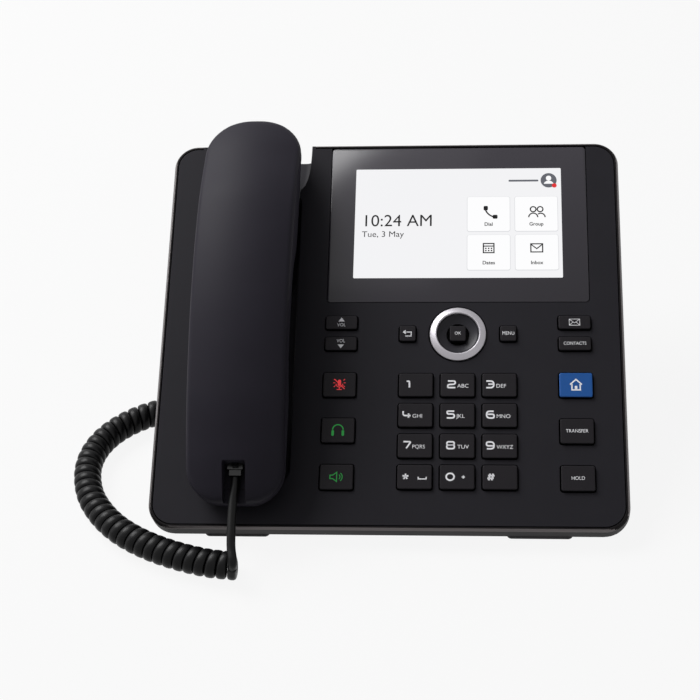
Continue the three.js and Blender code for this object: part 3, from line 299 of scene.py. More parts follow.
def new_node(tree, kind, values=None, **settings):
    """A node added to a tree, with its settings and the values on its own sockets."""
    node = tree.nodes.new(kind)
    for name, value in settings.items():
        setattr(node, name, value)
    return filled(node, values or {})


def fine_grain():
    """Shared finish of every moulded or rubber piece: grain that breaks up gloss and light."""
    group = bpy.data.node_groups.new("fine grain", "ShaderNodeTree")
    face = group.interface
    for name, value in (("Grain", 2200.0), ("Depth", 0.1), ("Roughness", 0.5), ("Spread", 0.1)):
        socket = face.new_socket(name, in_out="INPUT", socket_type="NodeSocketFloat")
        socket.default_value = value
    for name, kind in (("Roughness", "Float"), ("Normal", "Vector"), ("Mottle", "Float")):
        face.new_socket(name, in_out="OUTPUT", socket_type="NodeSocket" + kind)
    given = new_node(group, "NodeGroupInput")
    result = new_node(group, "NodeGroupOutput")
    place = new_node(group, "ShaderNodeTexCoord")
    grain = new_node(group, "ShaderNodeTexNoise", {"Detail": 2.0})
    broad = new_node(group, "ShaderNodeTexNoise", {"Scale": 45.0, "Detail": 3.0})
    bump = new_node(group, "ShaderNodeBump", {"Distance": 0.00012})
    spread = new_node(group, "ShaderNodeMath", operation="MULTIPLY_ADD")
    centred = new_node(group, "ShaderNodeMath", {1: 0.5}, operation="SUBTRACT")
    wired(group, (
        (place, "Object", grain, "Vector"), (place, "Object", broad, "Vector"),
        (given, "Grain", grain, "Scale"), (given, "Depth", bump, "Strength"),
        (grain, "Fac", bump, "Height"), (broad, "Fac", centred, 0), (centred, 0, spread, 0),
        (given, "Spread", spread, 1), (given, "Roughness", spread, 2),
        (spread, 0, result, "Roughness"), (bump, "Normal", result, "Normal"),
        (broad, "Fac", result, "Mottle"),
    ))
    return group


grain_group = fine_grain()


def linear(red, green, blue):
    """A colour given as it shows, 0 to 255, as Blender's linear value."""
    shares = [channel / 255 for channel in (red, green, blue)]
    return tuple(s / 12.92 if s < 0.04045 else ((s + 0.055) / 1.055) ** 2.4 for s in shares) + (1,)


def finish(name, colour, roughness, grain=2200.0, depth=0.1, spread=0.1, metallic=0.0,
           specular=0.5, mottle=0.12):
    """A moulded, coated or metal finish whose colour and gloss vary a little over the piece."""
    material = bpy.data.materials.new(name)
    material.use_nodes = True
    tree = material.node_tree
    shader = filled(tree.nodes["Principled BSDF"], {"Metallic": metallic,
                                                    "Specular IOR Level": specular})
    texture = new_node(tree, "ShaderNodeGroup", {"Grain": grain, "Depth": depth,
                                                 "Roughness": roughness, "Spread": spread},
                       node_tree=grain_group)
    dark, light = ((*[channel * (1 + way * mottle) for channel in linear(*colour)[:3]], 1)
                   for way in (-1, 1))
    shade = new_node(tree, "ShaderNodeMix", {"A": dark, "B": light}, data_type="RGBA")
    wired(tree, (
        (texture, "Mottle", shade, "Factor"), (shade, "Result", shader, "Base Color"),
        (texture, "Roughness", shader, "Roughness"), (texture, "Normal", shader, "Normal"),
    ))
    return material


def dress(piece, body, slot, material, *nodes):
    """Puts a finished piece on its body in place of the construction's own solids."""
    piece.data.materials.clear()
    piece.data.materials.append(material)
    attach(piece, body)
    if nodes:
        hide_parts(*nodes)
    return piece


jacket = finish("cord jacket", (11, 11, 12), 0.36, grain=900.0, depth=0.05, specular=0.13)
lead_piece = tube_piece("straight_lead", lead_points, wire_diameter / 2, lead_sides)
lead_piece.data.materials.append(jacket)
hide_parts("handset_lead")
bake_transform(lead_piece)
cord_piece = dress(tube_piece("curled_cord", cord_points, wire_diameter / 2, wire_sides,
                              cord_outwards, cord_halves),
                   "base", "cord", jacket, "curly_cord")

# Table top and light. The table is plain and pale and keeps a soft shadow. A broad lamp
# stands above and behind on the left, with weak ones beside, in front and overhead.
floor_size = 6.0
floor = mesh_piece("table_top", [(x * floor_size, y * floor_size, 0)
                                 for x, y in ((-1, -1), (1, -1), (1, 1), (-1, 1))],
                   [(0, 1, 2, 3)])


def seen_share(tree):
    """One where the camera sees a surface, also by way of gloss or glass, and else nothing."""
    paths = new_node(tree, "ShaderNodeLightPath")
    last, output = paths, "Is Camera Ray"
    for ray in ("Is Glossy Ray", "Is Transmission Ray"):
        either = new_node(tree, "ShaderNodeMath", operation="MAXIMUM")
        wired(tree, ((last, output, either, 0), (paths, ray, either, 1)))
        last, output = either, 0
    return last


floor_material = bpy.data.materials.new("pale table")
floor_material.use_nodes = True
floor_tree = floor_material.node_tree
floor_shader = filled(floor_tree.nodes["Principled BSDF"], {
    "Base Color": (0.42, 0.42, 0.42, 1), "Roughness": 0.7, "Specular IOR Level": 0.1})
floor_glow = new_node(floor_tree, "ShaderNodeEmission", {"Strength": 1.0})
faded = new_node(floor_tree, "ShaderNodeMath", {1: 0.9}, operation="MULTIPLY")
floor_mix = new_node(floor_tree, "ShaderNodeMixShader")
wired(floor_tree, (
    (seen_share(floor_tree), 0, faded, 0), (faded, 0, floor_mix, "Fac"),
    (floor_shader, "BSDF", floor_mix, 1), (floor_glow, "Emission", floor_mix, 2),
    (floor_mix, "Shader", floor_tree.nodes["Material Output"], "Surface"),
))
floor.data.materials.append(floor_material)

world = bpy.data.worlds.new("studio")
scene.world = world
world.use_nodes = True
world_tree = world.node_tree
world_light = filled(world_tree.nodes["Background"], {"Color": (0.08, 0.08, 0.09, 1),
                                                      "Strength": 1.0})
world_white = new_node(world_tree, "ShaderNodeBackground", {"Color": (1, 1, 1, 1)})
world_mix = new_node(world_tree, "ShaderNodeMixShader")
wired(world_tree, (
    (seen_share(world_tree), 0, world_mix, "Fac"), (world_light, "Background", world_mix, 1),
    (world_white, "Background", world_mix, 2),
    (world_mix, "Shader", world_tree.nodes["World Output"], "Surface"),
))

for lamp_name, place, target, size, power in (
    ("key lamp", (-0.95, 0.6, 1.3), (0.0, 0.0, 0.06), (1.1, 0.9), 38.0),
    ("left lamp", (-1.3, -0.1, 0.6), (0.0, 0.0, 0.06), (0.5, 1.0), 2.4),
    ("front lamp", (0.9, -1.1, 0.9), (0.0, 0.0, 0.06), (1.0, 0.8), 0.6),
    ("ceiling lamp", (-0.6, 0.0, 1.5), (-0.6, 0.01, 0.0), (1.0, 1.4), 2.0),
):
    lamp_data = bpy.data.lights.new(lamp_name, "AREA")
    lamp_data.shape = "RECTANGLE"
    lamp_data.size, lamp_data.size_y = size
    lamp_data.energy = power
    lamp = bpy.data.objects.new(lamp_name, lamp_data)
    lamp.location = place
    lamp.rotation_euler = (Vector(target) - Vector(place)).to_track_quat("-Z", "Y").to_euler()
    scene.collection.objects.link(lamp)

# Face: the top cover with the cradle, its two wells, the notch in its top edge and all the
# openings, moulded in one piece of black plastic with a fine satin texture and soft edges.
# It is cut in the flat, as a mould maker draws it, and then laid on the tilt of the face.
cover_plastic = finish("satin cover plastic", (35, 34, 38), 0.55, depth=0.16, spread=0.12,
                       specular=0.08)
plate_size = (0.2372, 0.2100)
plate_centre = (0.0, 0.1050)
plate_corner = 0.0105
plate_depth = 0.003
skirt_inset, skirt_wall, skirt_depth = 0.0005, 0.002, 0.0115
well_wall = 0.002
trough = ((handset_u, 0.1025), (0.0490, 0.1650), 0.009, 0.005, 0.0015)
mouth_well = ((handset_u, 0.0420), (0.0430, 0.0400), 0.012, 0.012, 0.002)
ear_well = ((handset_u, 0.1660), (0.0470, 0.0880), 0.012, 0.014, 0.002)
notch_half, notch_deep, notch_fillet = 0.0291, 0.024, 0.006
notch_low, notch_high = 0.185, 0.2129
notch_widening = [(0, 0), (0.11, 0.46), (0.31, 0.79), (0.63, 0.955), (1, 1)]
notch_deepening = [(0, 0), (0.11, 0.12), (0.31, 0.33), (0.63, 0.66), (1, 1)]
glass_low, glass_high = 0.1194, 0.2098
glass_corner = 0.002
glass_recess_high, glass_recess_gap, glass_recess_deep = 0.212, 0.0003, 0.0019
screen_window_gap, screen_window_corner = 0.0005, 0.002
glass_size = (0.1374, glass_high - glass_low)
glass_centre = (0.0348, (glass_low + glass_high) / 2)
screen_centre = (0.0348, 0.1651)
screen_size = (0.1106, 0.0640)
rocker_centre = (0.0351, 0.1014)
rocker_opening = 0.0152
hole_deep = -0.005
sound_slot_count, sound_slot_middle, sound_slot_pitch = 9, 0.095, 0.0044
sound_slot_size = (0.032, 0.0018)
plunger_v, plunger_hole_size = 0.152, (0.0082, 0.0044)
cover_low = 0.0046
key_clearance = 0.0006
key_corner = 0.0010
dial_pitch, dial_row_pitch, dial_low_row = 0.0214, 0.0162, 0.0246
dial_size = (0.01735, 0.0124)
left_column, right_column = -0.0257, 0.0954
side_key_size, side_low_row, side_row_pitch = (0.0168, 0.0129), 0.0243, 0.0245
slim_key_size, slim_low_row, slim_row_pitch = (0.0164, 0.0072), 0.0958, 0.0117
small_key_size = (0.0083, 0.0083)
small_key_reach = 0.0261

key_places = {}
dial_nodes = ["key_1", "key_2", "key_3", "key_4", "key_5", "key_6", "key_7", "key_8", "key_9",
              "key_star", "key_0", "key_hash"]
for order, node in enumerate(dial_nodes):
    key_places[node] = (rocker_centre[0] + (order % 3 - 1) * dial_pitch,
                        dial_low_row + (3 - order // 3) * dial_row_pitch, *dial_size)
for low_row, row_pitch, size, rows in (
    (side_low_row, side_row_pitch, side_key_size,
     (("speaker_key", "hold_key"), ("headset_key", "transfer_key"), ("mute_key", "home_key"))),
    (slim_low_row, slim_row_pitch, slim_key_size,
     (("volume_down_key", "contacts_key"), ("volume_up_key", "message_key"))),
):
    for row, nodes in enumerate(rows):
        for node, column in zip(nodes, (left_column, right_column)):
            key_places[node] = (column, low_row + row * row_pitch, *size)
for node, side in (("back_key", -1), ("menu_key", 1)):
    key_places[node] = (rocker_centre[0] + side * small_key_reach, rocker_centre[1],
                        *small_key_size)


def flat(u, v, w):
    """A point as it is given, on the table or on the face before that is laid on its tilt."""
    return Vector((u, v, w))


def laid(piece):
    """Lays a piece that was made in the flat on the tilt of the face."""
    for vert in piece.data.vertices:
        vert.co = on_face(*vert.co)
    piece.data.update()
    return piece


def rounded_outline(width, height, radius, steps):
    """A rounded rectangle about its own middle, counter-clockwise."""
    points = []
    for corner in range(4):
        sign_x = 1 if corner in (0, 3) else -1
        sign_y = 1 if corner < 2 else -1
        for step in range(steps + 1):
            angle = (corner + step / steps) * math.pi / 2
            points.append((sign_x * (width / 2 - radius) + radius * math.cos(angle),
                           sign_y * (height / 2 - radius) + radius * math.sin(angle)))
    return points


def lofted(name, rings):
    """A closed piece through rings of points, capped at both ends."""
    return mesh_piece(name, [point for ring in rings for point in ring],
                      lofted_faces(len(rings), len(rings[0])))


def stacked(name, centre, size, radius, levels, place=on_face, steps=8):
    """A rounded rectangle built up in levels, each with its own offset and height."""
    rings = []
    for offset, height in levels:
        outline = rounded_outline(size[0] + 2 * offset, size[1] + 2 * offset,
                                  max(radius + offset, 0.0001), steps)
        rings.append([place(centre[0] + x, centre[1] + y, height) for x, y in outline])
    piece = lofted(name, rings)
    piece.data.set_sharp_from_angle(angle=math.radians(50))
    return piece


def opening(clearance, lip, low, top=0.0, above=0.0008):
    """Levels of a cutter that leaves a rounded edge where it comes out at the top."""
    turns = [math.radians(angle) for angle in (0, 25, 50, 75)]
    levels = [(clearance, low)]
    levels += [(clearance + lip * (1 - math.cos(t)), top - lip * (1 - math.sin(t))) for t in turns]
    return levels + [(clearance + lip * 1.15, top + above)]


def basin(depth, fillet, lip, top=0.0, above=0.0008):
    """Levels of a cutter for a well with a filleted floor and a rounded edge."""
    turns = [math.radians(angle) for angle in (0, 18, 36, 54, 72)]
    floor = [(-fillet * (1 - math.sin(t)), -depth + fillet * (1 - math.cos(t))) for t in turns]
    return floor + opening(0, lip, -depth + fillet, top, above)


def settled(piece):
    """The piece with its modifiers worked into its mesh."""
    seen_piece = piece.evaluated_get(bpy.context.evaluated_depsgraph_get())
    mesh = bpy.data.meshes.new_from_object(seen_piece)
    old = piece.data
    piece.modifiers.clear()
    piece.data = mesh
    bpy.data.meshes.remove(old)
    return piece


def cut_by(piece, cutters, operation="DIFFERENCE"):
    """Cuts closed shapes out of a piece, or joins them to it, and drops them."""
    for cutter in cutters:
        modifier = piece.modifiers.new("cut", "BOOLEAN")
        modifier.operation = operation
        modifier.object = cutter
        modifier.solver = "EXACT"
    settled(piece)
    for cutter in cutters:
        bpy.data.objects.remove(cutter)
    return piece


def shaped(name, shape, mesh=None):
    """The piece of a finished bmesh."""
    if mesh is None:
        mesh = bpy.data.meshes.new(name)
    shape.to_mesh(mesh)
    shape.free()
    return shown(name, mesh)


def bundle(name, pieces):
    """Several closed shapes that don't touch as one cutter."""
    shape = bmesh.new()
    for piece in pieces:
        shape.from_mesh(piece.data)
        bpy.data.objects.remove(piece)
    return shaped(name, shape)


def evened(piece, sharp=40.0):
    """Smooth shading that keeps broad flat faces flat and true edges crisp."""
    piece.data.shade_smooth()
    piece.data.set_sharp_from_angle(angle=math.radians(sharp))
    modifier = piece.modifiers.new("shading", "WEIGHTED_NORMAL")
    modifier.keep_sharp = True
    modifier.weight = 80
    return settled(piece)


def off_table(x, y, z):
    """The flat-frame place of a point of the row frame."""
    y, z = y - face_edge_y, z - face_lift
    return Vector((x, y * math.cos(tilt) + z * math.sin(tilt),
                   z * math.cos(tilt) - y * math.sin(tilt)))


def below_table(height):
    """Everything below a level plane above the table, in the flat frame."""
    corners = [(-0.3, -0.3), (0.3, -0.3), (0.3, 0.5), (-0.3, 0.5)]
    return lofted("below_table", [[off_table(x, y, z) for x, y in corners]
                                  for z in (-0.3, height)])


def along(table, place):
    """A smooth value along a table of shares."""
    row = max(k for k in range(len(table) - 1) if k == 0 or place > table[k][0])

    def slope(at):
        before, after = table[max(at - 1, 0)], table[min(at + 1, len(table) - 1)]
        return (after[1] - before[1]) / (after[0] - before[0])

    (x0, y0), (x1, y1) = table[row], table[row + 1]
    t = (place - x0) / (x1 - x0)
    bulge = t * (1 - t) * ((1 - t) * slope(row) - t * slope(row + 1)) * (x1 - x0)
    return y0 + (y1 - y0) * t * t * (3 - 2 * t) + bulge


def notch_shape(name, wall, lip):
    """The notch that widens from the ear well to the top edge, or the wall round it."""
    low = 0.183 if wall else 0.172
    high = notch_high if wall else notch_high + 0.002
    start = 0.183 if wall else notch_low
    rings = []
    for step in range(37):
        v = low + (high - low) * step / 36
        share = min(max((v - start) / (high - start), 0), 1)
        half = ear_well[1][0] / 2 + wall
        half += (notch_half - ear_well[1][0] / 2) * along(notch_widening, share)
        depth = ear_well[3] + wall + (notch_deep - ear_well[3]) * along(notch_deepening, share)
        right = [(half, 0.0)]
        if lip:
            right = [(half + offset, w) for offset, w in reversed(opening(0, lip, -lip)[1:])]
        for turn in range(9):
            angle = turn / 8 * math.pi / 2
            right.append((half - notch_fillet * (1 - math.cos(angle)),
                          -depth + notch_fillet * (1 - math.sin(angle))))
        outline = right + [(-x, w) for x, w in reversed(right)]
        rings.append([flat(handset_u + x, v, w) for x, w in outline])
    return lofted(name, rings)


face = stacked("face_cover", plate_centre, plate_size, plate_corner,
               [(0, -plate_depth), (0, -0.0003), (-0.00005, -0.00013), (-0.00015, -0.00004),
                (-0.0003, 0)], flat, 12)
skirt = stacked("skirt", plate_centre, plate_size, plate_corner,
                [(-skirt_inset, -skirt_depth), (-skirt_inset, -plate_depth / 2)], flat, 12)
skirt = cut_by(skirt, [stacked("skirt_room", plate_centre, plate_size, plate_corner,
                               [(-skirt_inset - skirt_wall, -0.02),
                                (-skirt_inset - skirt_wall, 0)], flat, 12)])
wells = []
for well_name, well in (("trough", trough), ("mouth_well", mouth_well), ("ear_well", ear_well)):
    centre, size, corner, depth, fillet = well
    wells.append(stacked(well_name, centre, size, corner,
                         [(well_wall / 2, -depth - well_wall), (well_wall, -depth),
                          (well_wall, -plate_depth / 2)], flat, 10))
trim_levels = [(0.0029, -0.0095), (0.00243, -0.0021), (0.00237, -0.0016), (0.00222, -0.00125),
               (0.00162, -0.0004), (0.00148, -0.00018), (0.00136, -0.00006), (0.0012, 0.0)]
notch_wall = cut_by(notch_shape("notch_wall", well_wall, 0.0),
                    [stacked("trim_form", plate_centre, plate_size, plate_corner,
                             [(0.0029, -0.03), *trim_levels], flat, 20)], "INTERSECT")
cut_by(face, [skirt, *wells, notch_wall], "UNION")
cut_by(face, [
    stacked("trough_room", *trough[:3], basin(trough[3], trough[4], 0.0006), flat, 10),
    stacked("mouth_room", *mouth_well[:3],
            basin(mouth_well[3], mouth_well[4], 0.0006, -trough[3], 0.001), flat, 10),
    stacked("ear_room", *ear_well[:3],
            basin(ear_well[3], ear_well[4], 0.0006, -trough[3], 0.001), flat, 10),
    notch_shape("notch_room", 0.0, 0.0007),
    stacked("glass_recess", (glass_centre[0], (glass_low + glass_recess_high) / 2),
            (glass_size[0], glass_recess_high - glass_low), glass_corner,
            [(glass_recess_gap, -glass_recess_deep), (glass_recess_gap, 0.001)], flat),
])
holes = [stacked("screen_window", screen_centre, screen_size, screen_window_corner,
                 [(screen_window_gap, hole_deep), (screen_window_gap, 0.0)], flat)]
for node, (u, v, width, height) in key_places.items():
    holes.append(stacked(node + "_hole", (u, v), (width, height), key_corner,
                         opening(key_clearance, 0.0002, hole_deep), flat))
for row in range(sound_slot_count):
    middle_v = sound_slot_middle + (row - sound_slot_count // 2) * sound_slot_pitch
    holes.append(stacked("sound_slot", (handset_u, middle_v), sound_slot_size, 0.00089,
                         opening(0, 0.0003, -0.009, -trough[3], 0.0005), flat))
holes.append(stacked("plunger_hole", (handset_u, plunger_v), plunger_hole_size, 0.001,
                     opening(0.0003, 0.0003, -0.018, -ear_well[3], 0.0005), flat))
rocker_outline = [(rocker_opening * math.cos(k / 96 * math.tau),
                   rocker_opening * math.sin(k / 96 * math.tau)) for k in range(96)]
holes.append(lofted("rocker_hole", [
    [flat(rocker_centre[0] + x * (1 + offset / rocker_opening),
          rocker_centre[1] + y * (1 + offset / rocker_opening), w) for x, y in rocker_outline]
    for offset, w in opening(0, 0.0004, hole_deep)]))
cut_by(face, [bundle("holes", holes), below_table(cover_low)])
dress(evened(laid(face)), "base", "cover", cover_plastic, "top_cover")

# Rear cover and stand: a tapered tray with the jack bay, vents and screw wells, and a bent
# foot that clips into it. Both are moulded in black plastic with a coarser texture.
rear_plastic = finish("textured rear plastic", (34, 33, 37), 0.6, grain=1500.0, depth=0.3,
                      specular=0.3)
solid_edge_angle = 35.0


def softened(name, node, width):
    """A merged copy of a construction solid with its edges rounded."""
    mesh = frame["nodes"][node].data.copy()
    mesh.name = name
    shape = bmesh.new()
    shape.from_mesh(mesh)
    bmesh.ops.remove_doubles(shape, verts=shape.verts, dist=0.00001)
    bmesh.ops.dissolve_limit(shape, angle_limit=math.radians(0.3), verts=shape.verts,
                             edges=shape.edges)
    piece = shaped(name, shape, mesh)
    bevel = piece.modifiers.new("edges", "BEVEL")
    bevel.width = width
    bevel.segments = 2
    bevel.limit_method = "ANGLE"
    bevel.angle_limit = math.radians(solid_edge_angle)
    bevel.use_clamp_overlap = True
    return evened(settled(piece), solid_edge_angle)


dress(softened("back_cover", "rear_cover", 0.0004), "base", "cover", rear_plastic, "rear_cover")
dress(softened("desk_stand", "stand", 0.0006), "base", "cover", rear_plastic, "stand")

# Trim frame: a gunmetal ring round the face, open where the cradle leaves the top edge.
# It is a thin die-cast frame with a satin coat. Its outer shoulder faces that point up get a
# brighter, more metallic copy of the finish as a painted highlight, and the rest a darker copy as
# painted shade.
# Painted shade: a dark copy of the gunmetal on every face of the frame but its upward shoulder.
trim_painted_shade = finish("gunmetal trim with painted shade", (28, 26, 27), 0.48, grain=700.0, depth=0.04,
                    specular=0.05, spread=0.08)
# Painted highlight: a bright, more metallic copy of the same finish for the upward shoulder.
trim_painted_highlight = finish("trim shoulder with painted highlight", (96, 91, 91), 0.36, grain=700.0, depth=0.04,
                        metallic=0.55, spread=0.08)
trim = stacked("face_trim", plate_centre, plate_size, plate_corner, trim_levels, flat, 20)
trim_gap_half = notch_half + well_wall + 0.0003
gap_corners = [(handset_u - trim_gap_half, 0.105), (handset_u + trim_gap_half, 0.105),
               (handset_u + trim_gap_half, 0.22), (handset_u - trim_gap_half, 0.22)]
cut_by(trim, [
    stacked("trim_room", plate_centre, plate_size, plate_corner,
            opening(0.0004, 0.00015, -0.012), flat, 20),
    lofted("trim_gap", [[flat(x, y, z) for x, y in gap_corners] for z in (-0.012, 0.002)]),
])
shoulder_low, shoulder_out, highlight_upwards = -0.0017, 0.0011, 0.3
# Faces that get the painted highlight: outer shoulder faces that point up.
highlight_faces = [
    face.index for face in trim.data.polygons
    if face.center.z > shoulder_low and face.normal.z > highlight_upwards
    and max(abs(face.center.x) - plate_size[0] / 2,
            abs(face.center.y - plate_centre[1]) - plate_size[1] / 2) > shoulder_out]
dress(laid(trim), "base", "trim", trim_painted_shade, "trim_frame")
trim.data.materials.append(trim_painted_highlight)
for face_number in highlight_faces:
    trim.data.polygons[face_number].material_index = 1
evened(trim, 30.0)

# Rubber feet: two wide pads under the front edge and two under the toe of the stand.
# They are moulded with a soft edge and glued to the plastic.
rubber = finish("black rubber", (24, 24, 25), 0.8, grain=1600.0, depth=0.4)
pad_corner, pad_edge = 0.0025, 0.0004


def pad_levels(height, edge):
    """Levels of a pad whose lower and upper edges are rounded."""
    turns = [math.pi / 2 * k / 4 for k in range(5)]
    lower = [(-edge * (1 - math.sin(t)), edge * (1 - math.cos(t))) for t in turns]
    upper = [(-edge * (1 - math.cos(t)), height - edge * (1 - math.sin(t))) for t in turns]
    return lower + upper


for node in ("front_foot_left", "front_foot_right", "stand_foot_left", "stand_foot_right"):
    low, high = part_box(node)
    foot = stacked(node + "_pad", ((low.x + high.x) / 2, (low.y + high.y) / 2),
                   (high.x - low.x, high.y - low.y), pad_corner, pad_levels(high.z, pad_edge),
                   flat)
    dress(foot, "base", "rubber", rubber, node)

# Display: cover glass with a black border, and the lit panel behind it.
# The panel shows a plain home page of its own: time, date, four tiles and a status figure.
border_glass = finish("black-backed glass", (51, 48, 55), 0.16, grain=300.0, depth=0.0,
                      spread=0.02, specular=0.28, mottle=0.03)
glass_levels = [(0, -0.0016), (0, -0.0003), (-0.0001, -0.0001), (-0.0003, 0.0)]
dress(stacked("cover_glass", glass_centre, glass_size, glass_corner, glass_levels),
      "base", "glass", border_glass, "display_glass")


def lit(name, colour):
    """Lit area of the panel behind its glass: an even glow with the glass's gloss over it."""
    material = bpy.data.materials.new(name)
    material.use_nodes = True
    filled(material.node_tree.nodes["Principled BSDF"], {
        "Base Color": (0.01, 0.01, 0.01, 1), "Roughness": 0.1, "Specular IOR Level": 0.12,
        "Emission Color": linear(*colour), "Emission Strength": 1.0})
    return material


panel_white = lit("panel page", (241, 241, 243))
panel_tile = lit("panel tile", (251, 251, 252))
panel_edge = lit("panel tile edge", (212, 213, 216))
panel_ink = lit("panel ink", (16, 16, 18))
panel_grey = lit("panel soft ink", (96, 98, 106))
panel_red = lit("panel red", (222, 40, 44))


def flat_piece(name, loops, centre, height, material, body="base"):
    """Flat printed or lit shapes on the face: a list of closed outlines in millimetres."""
    shape = bmesh.new()
    for loop in loops:
        points = [on_face(centre[0] + x / 1000, centre[1] + y / 1000, height) for x, y in loop]
        verts = [shape.verts.new(point) for point in points]
        shape.faces.new(verts)
    bmesh.ops.recalc_face_normals(shape, faces=shape.faces)
    shape.normal_update()
    for face in shape.faces:
        if face.normal.dot(face_outward) < 0:
            face.normal_flip()
    bmesh.ops.triangulate(shape, faces=shape.faces)
    piece = shaped(name, shape)
    piece.data.materials.append(material)
    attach(piece, body)
    return piece


def disc(x, y, radius, start=0.0, end=360.0, steps=28):
    """Outline of a disc, or of a part of one, in millimetres."""
    angles = [math.radians(start + (end - start) * k / steps) for k in range(steps + 1)]
    if end - start >= 360.0:
        angles = angles[:-1]
    return [(x + radius * math.cos(a), y + radius * math.sin(a)) for a in angles]


def strip(points, width, closed=False):
    """Outlines of a line of even width through the points, one for each of its stretches."""
    path = [Vector((x, y)) for x, y in points]
    count = len(path)
    sides = []
    for at, point in enumerate(path):
        before = path[at - 1] if closed or at > 0 else point
        after = path[(at + 1) % count] if closed or at < count - 1 else point
        ahead_in = (point - before).normalized() if (point - before).length else None
        ahead_out = (after - point).normalized() if (after - point).length else None
        ahead_in = ahead_in or ahead_out
        ahead_out = ahead_out or ahead_in
        normal_in = Vector((-ahead_in.y, ahead_in.x))
        normal_out = Vector((-ahead_out.y, ahead_out.x))
        mitre = (normal_in + normal_out).normalized()
        reach = width / 2 / max(mitre.dot(normal_in), 0.4)
        sides.append((point + mitre * reach, point - mitre * reach))
    loops = []
    for at in range(count if closed else count - 1):
        (a, b), (c, d) = sides[at], sides[(at + 1) % count]
        loops.append([tuple(a), tuple(b), tuple(d), tuple(c)])
    return loops


def plate(width, height, radius, x=0.0, y=0.0, steps=5):
    """Outline of a rounded plate in millimetres."""
    return [(x + px, y + py) for px, py in rounded_outline(width, height, radius, steps)]


def arc(x, y, radius, start, end, steps=16):
    """Points along part of a circle."""
    return [(x + radius * math.cos(math.radians(start + (end - start) * k / steps)),
             y + radius * math.sin(math.radians(start + (end - start) * k / steps)))
            for k in range(steps + 1)]


font_capital = 0.69


def lettering(name, words, centre, size, height, material, body="base", align="CENTER",
              stretch=1.0, weight=0.0):
    """Flat words on the face, size being the height of a capital in millimetres."""
    curve = bpy.data.curves.new(name, "FONT")
    curve.body = words
    curve.align_x = align
    curve.align_y = "CENTER"
    curve.size = 1.0
    curve.offset = weight
    curve.resolution_u = 6
    carrier = shown(name, curve)
    bpy.context.view_layer.update()
    seen_carrier = carrier.evaluated_get(bpy.context.evaluated_depsgraph_get())
    mesh = bpy.data.meshes.new_from_object(seen_carrier)
    bpy.data.objects.remove(carrier)
    scale = size / 1000 / font_capital
    for vert in mesh.vertices:
        x, y = vert.co.x * scale * stretch, vert.co.y * scale
        vert.co = on_face(centre[0] + x, centre[1] + y, height)
    mesh.update()
    if mesh.polygons and mesh.polygons[0].normal.dot(face_outward) < 0:
        mesh.flip_normals()
    piece = shown(name, mesh)
    mesh.materials.append(material)
    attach(piece, body)
    return piece


def joined(name, pieces):
    """Several flat shapes of one body as one piece."""
    shape = bmesh.new()
    materials = []
    for piece in pieces:
        material = piece.data.materials[0]
        if material not in materials:
            materials.append(material)
        before = len(shape.faces)
        shape.from_mesh(piece.data)
        shape.faces.ensure_lookup_table()
        for face in shape.faces[before:]:
            face.material_index = materials.index(material)
    body = pieces[0]["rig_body"]
    for piece in pieces:
        bpy.data.objects.remove(piece)
    whole = shaped(name, shape)
    for material in materials:
        whole.data.materials.append(material)
    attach(whole, body)
    return whole


page, edge_layer, tile_layer, mark, dot_layer = 0.00002, 0.00003, 0.00004, 0.00007, 0.00009
tile_size = (22.6, 20.2)
tile_border, tile_drop, tile_word_drop = 0.5, 0.12, 6.1
screen_parts = []


def on_screen(name, loops, height, material):
    """Adds a lit shape, drawn about the middle of the screen in millimetres."""
    screen_parts.append(flat_piece(name, loops, screen_centre, height, material))


def screen_words(name, words, x, y, size, **style):
    """Adds lit words, placed from the middle of the screen in metres."""
    place = (screen_centre[0] + x, screen_centre[1] + y)
    screen_parts.append(lettering(name, words, place, size, mark, panel_ink, **style))


on_screen("page", [plate(110.6, 64.0, 0.6)], page, panel_white)
for x, y, words in ((16.4, 5.0, "Dial"), (41.8, 5.0, "Group"), (16.4, -17.35, "Dates"),
                    (41.8, -17.35, "Inbox")):
    border = plate(tile_size[0] + tile_border, tile_size[1] + tile_border, 1.3, x, y - tile_drop)
    on_screen("tile_edge", [border], edge_layer, panel_edge)
    on_screen("tile", [plate(*tile_size, 1.1, x, y)], tile_layer, panel_tile)
    screen_words("tile_word", words, x / 1000, (y - tile_word_drop) / 1000, 1.95, weight=0.02)
receiver_icon = strip(arc(21.0, 9.6, 6.6, 188, 262, 12), 0.8)
receiver_icon += [plate(2.3, 2.6, 0.6, 14.9, 8.4), plate(2.6, 2.3, 0.6, 19.9, 3.3)]
group_icon = strip(disc(40.2, 7.6, 1.5, steps=20), 0.68, True)
group_icon += strip(disc(43.9, 7.6, 1.5, steps=20), 0.68, True)
group_icon += strip(arc(40.2, 2.9, 2.4, 0, 180), 0.68) + strip(arc(44.2, 2.9, 2.3, 0, 130), 0.68)
dates_icon = strip([(13.6, -12.3), (19.2, -12.3), (19.2, -17.6), (13.6, -17.6)], 0.65, True)
dates_icon += strip([(13.6, -13.8), (19.2, -13.8)], 0.65)
dates_icon += [plate(0.8, 0.8, 0.1, 14.9 + 1.5 * i, -15.1 - 1.3 * j)
               for i in range(3) for j in range(2)]
inbox_icon = strip([(38.7, -12.6), (44.9, -12.6), (44.9, -17.3), (38.7, -17.3)], 0.65, True)
inbox_icon += strip([(38.9, -13.0), (41.8, -15.4), (44.7, -13.0)], 0.62)
for icon in (receiver_icon, group_icon, dates_icon, inbox_icon):
    on_screen("icon", icon, mark, panel_ink)
screen_words("clock", "10:24 AM", -0.0516, 0.0010, 6.7, align="LEFT")
screen_words("date", "Tue, 3 May", -0.0514, -0.0067, 3.3, align="LEFT", stretch=1.05)
on_screen("status_bar", [plate(16.0, 1.1, 0.4, 35.2, 24.6)], mark, panel_grey)
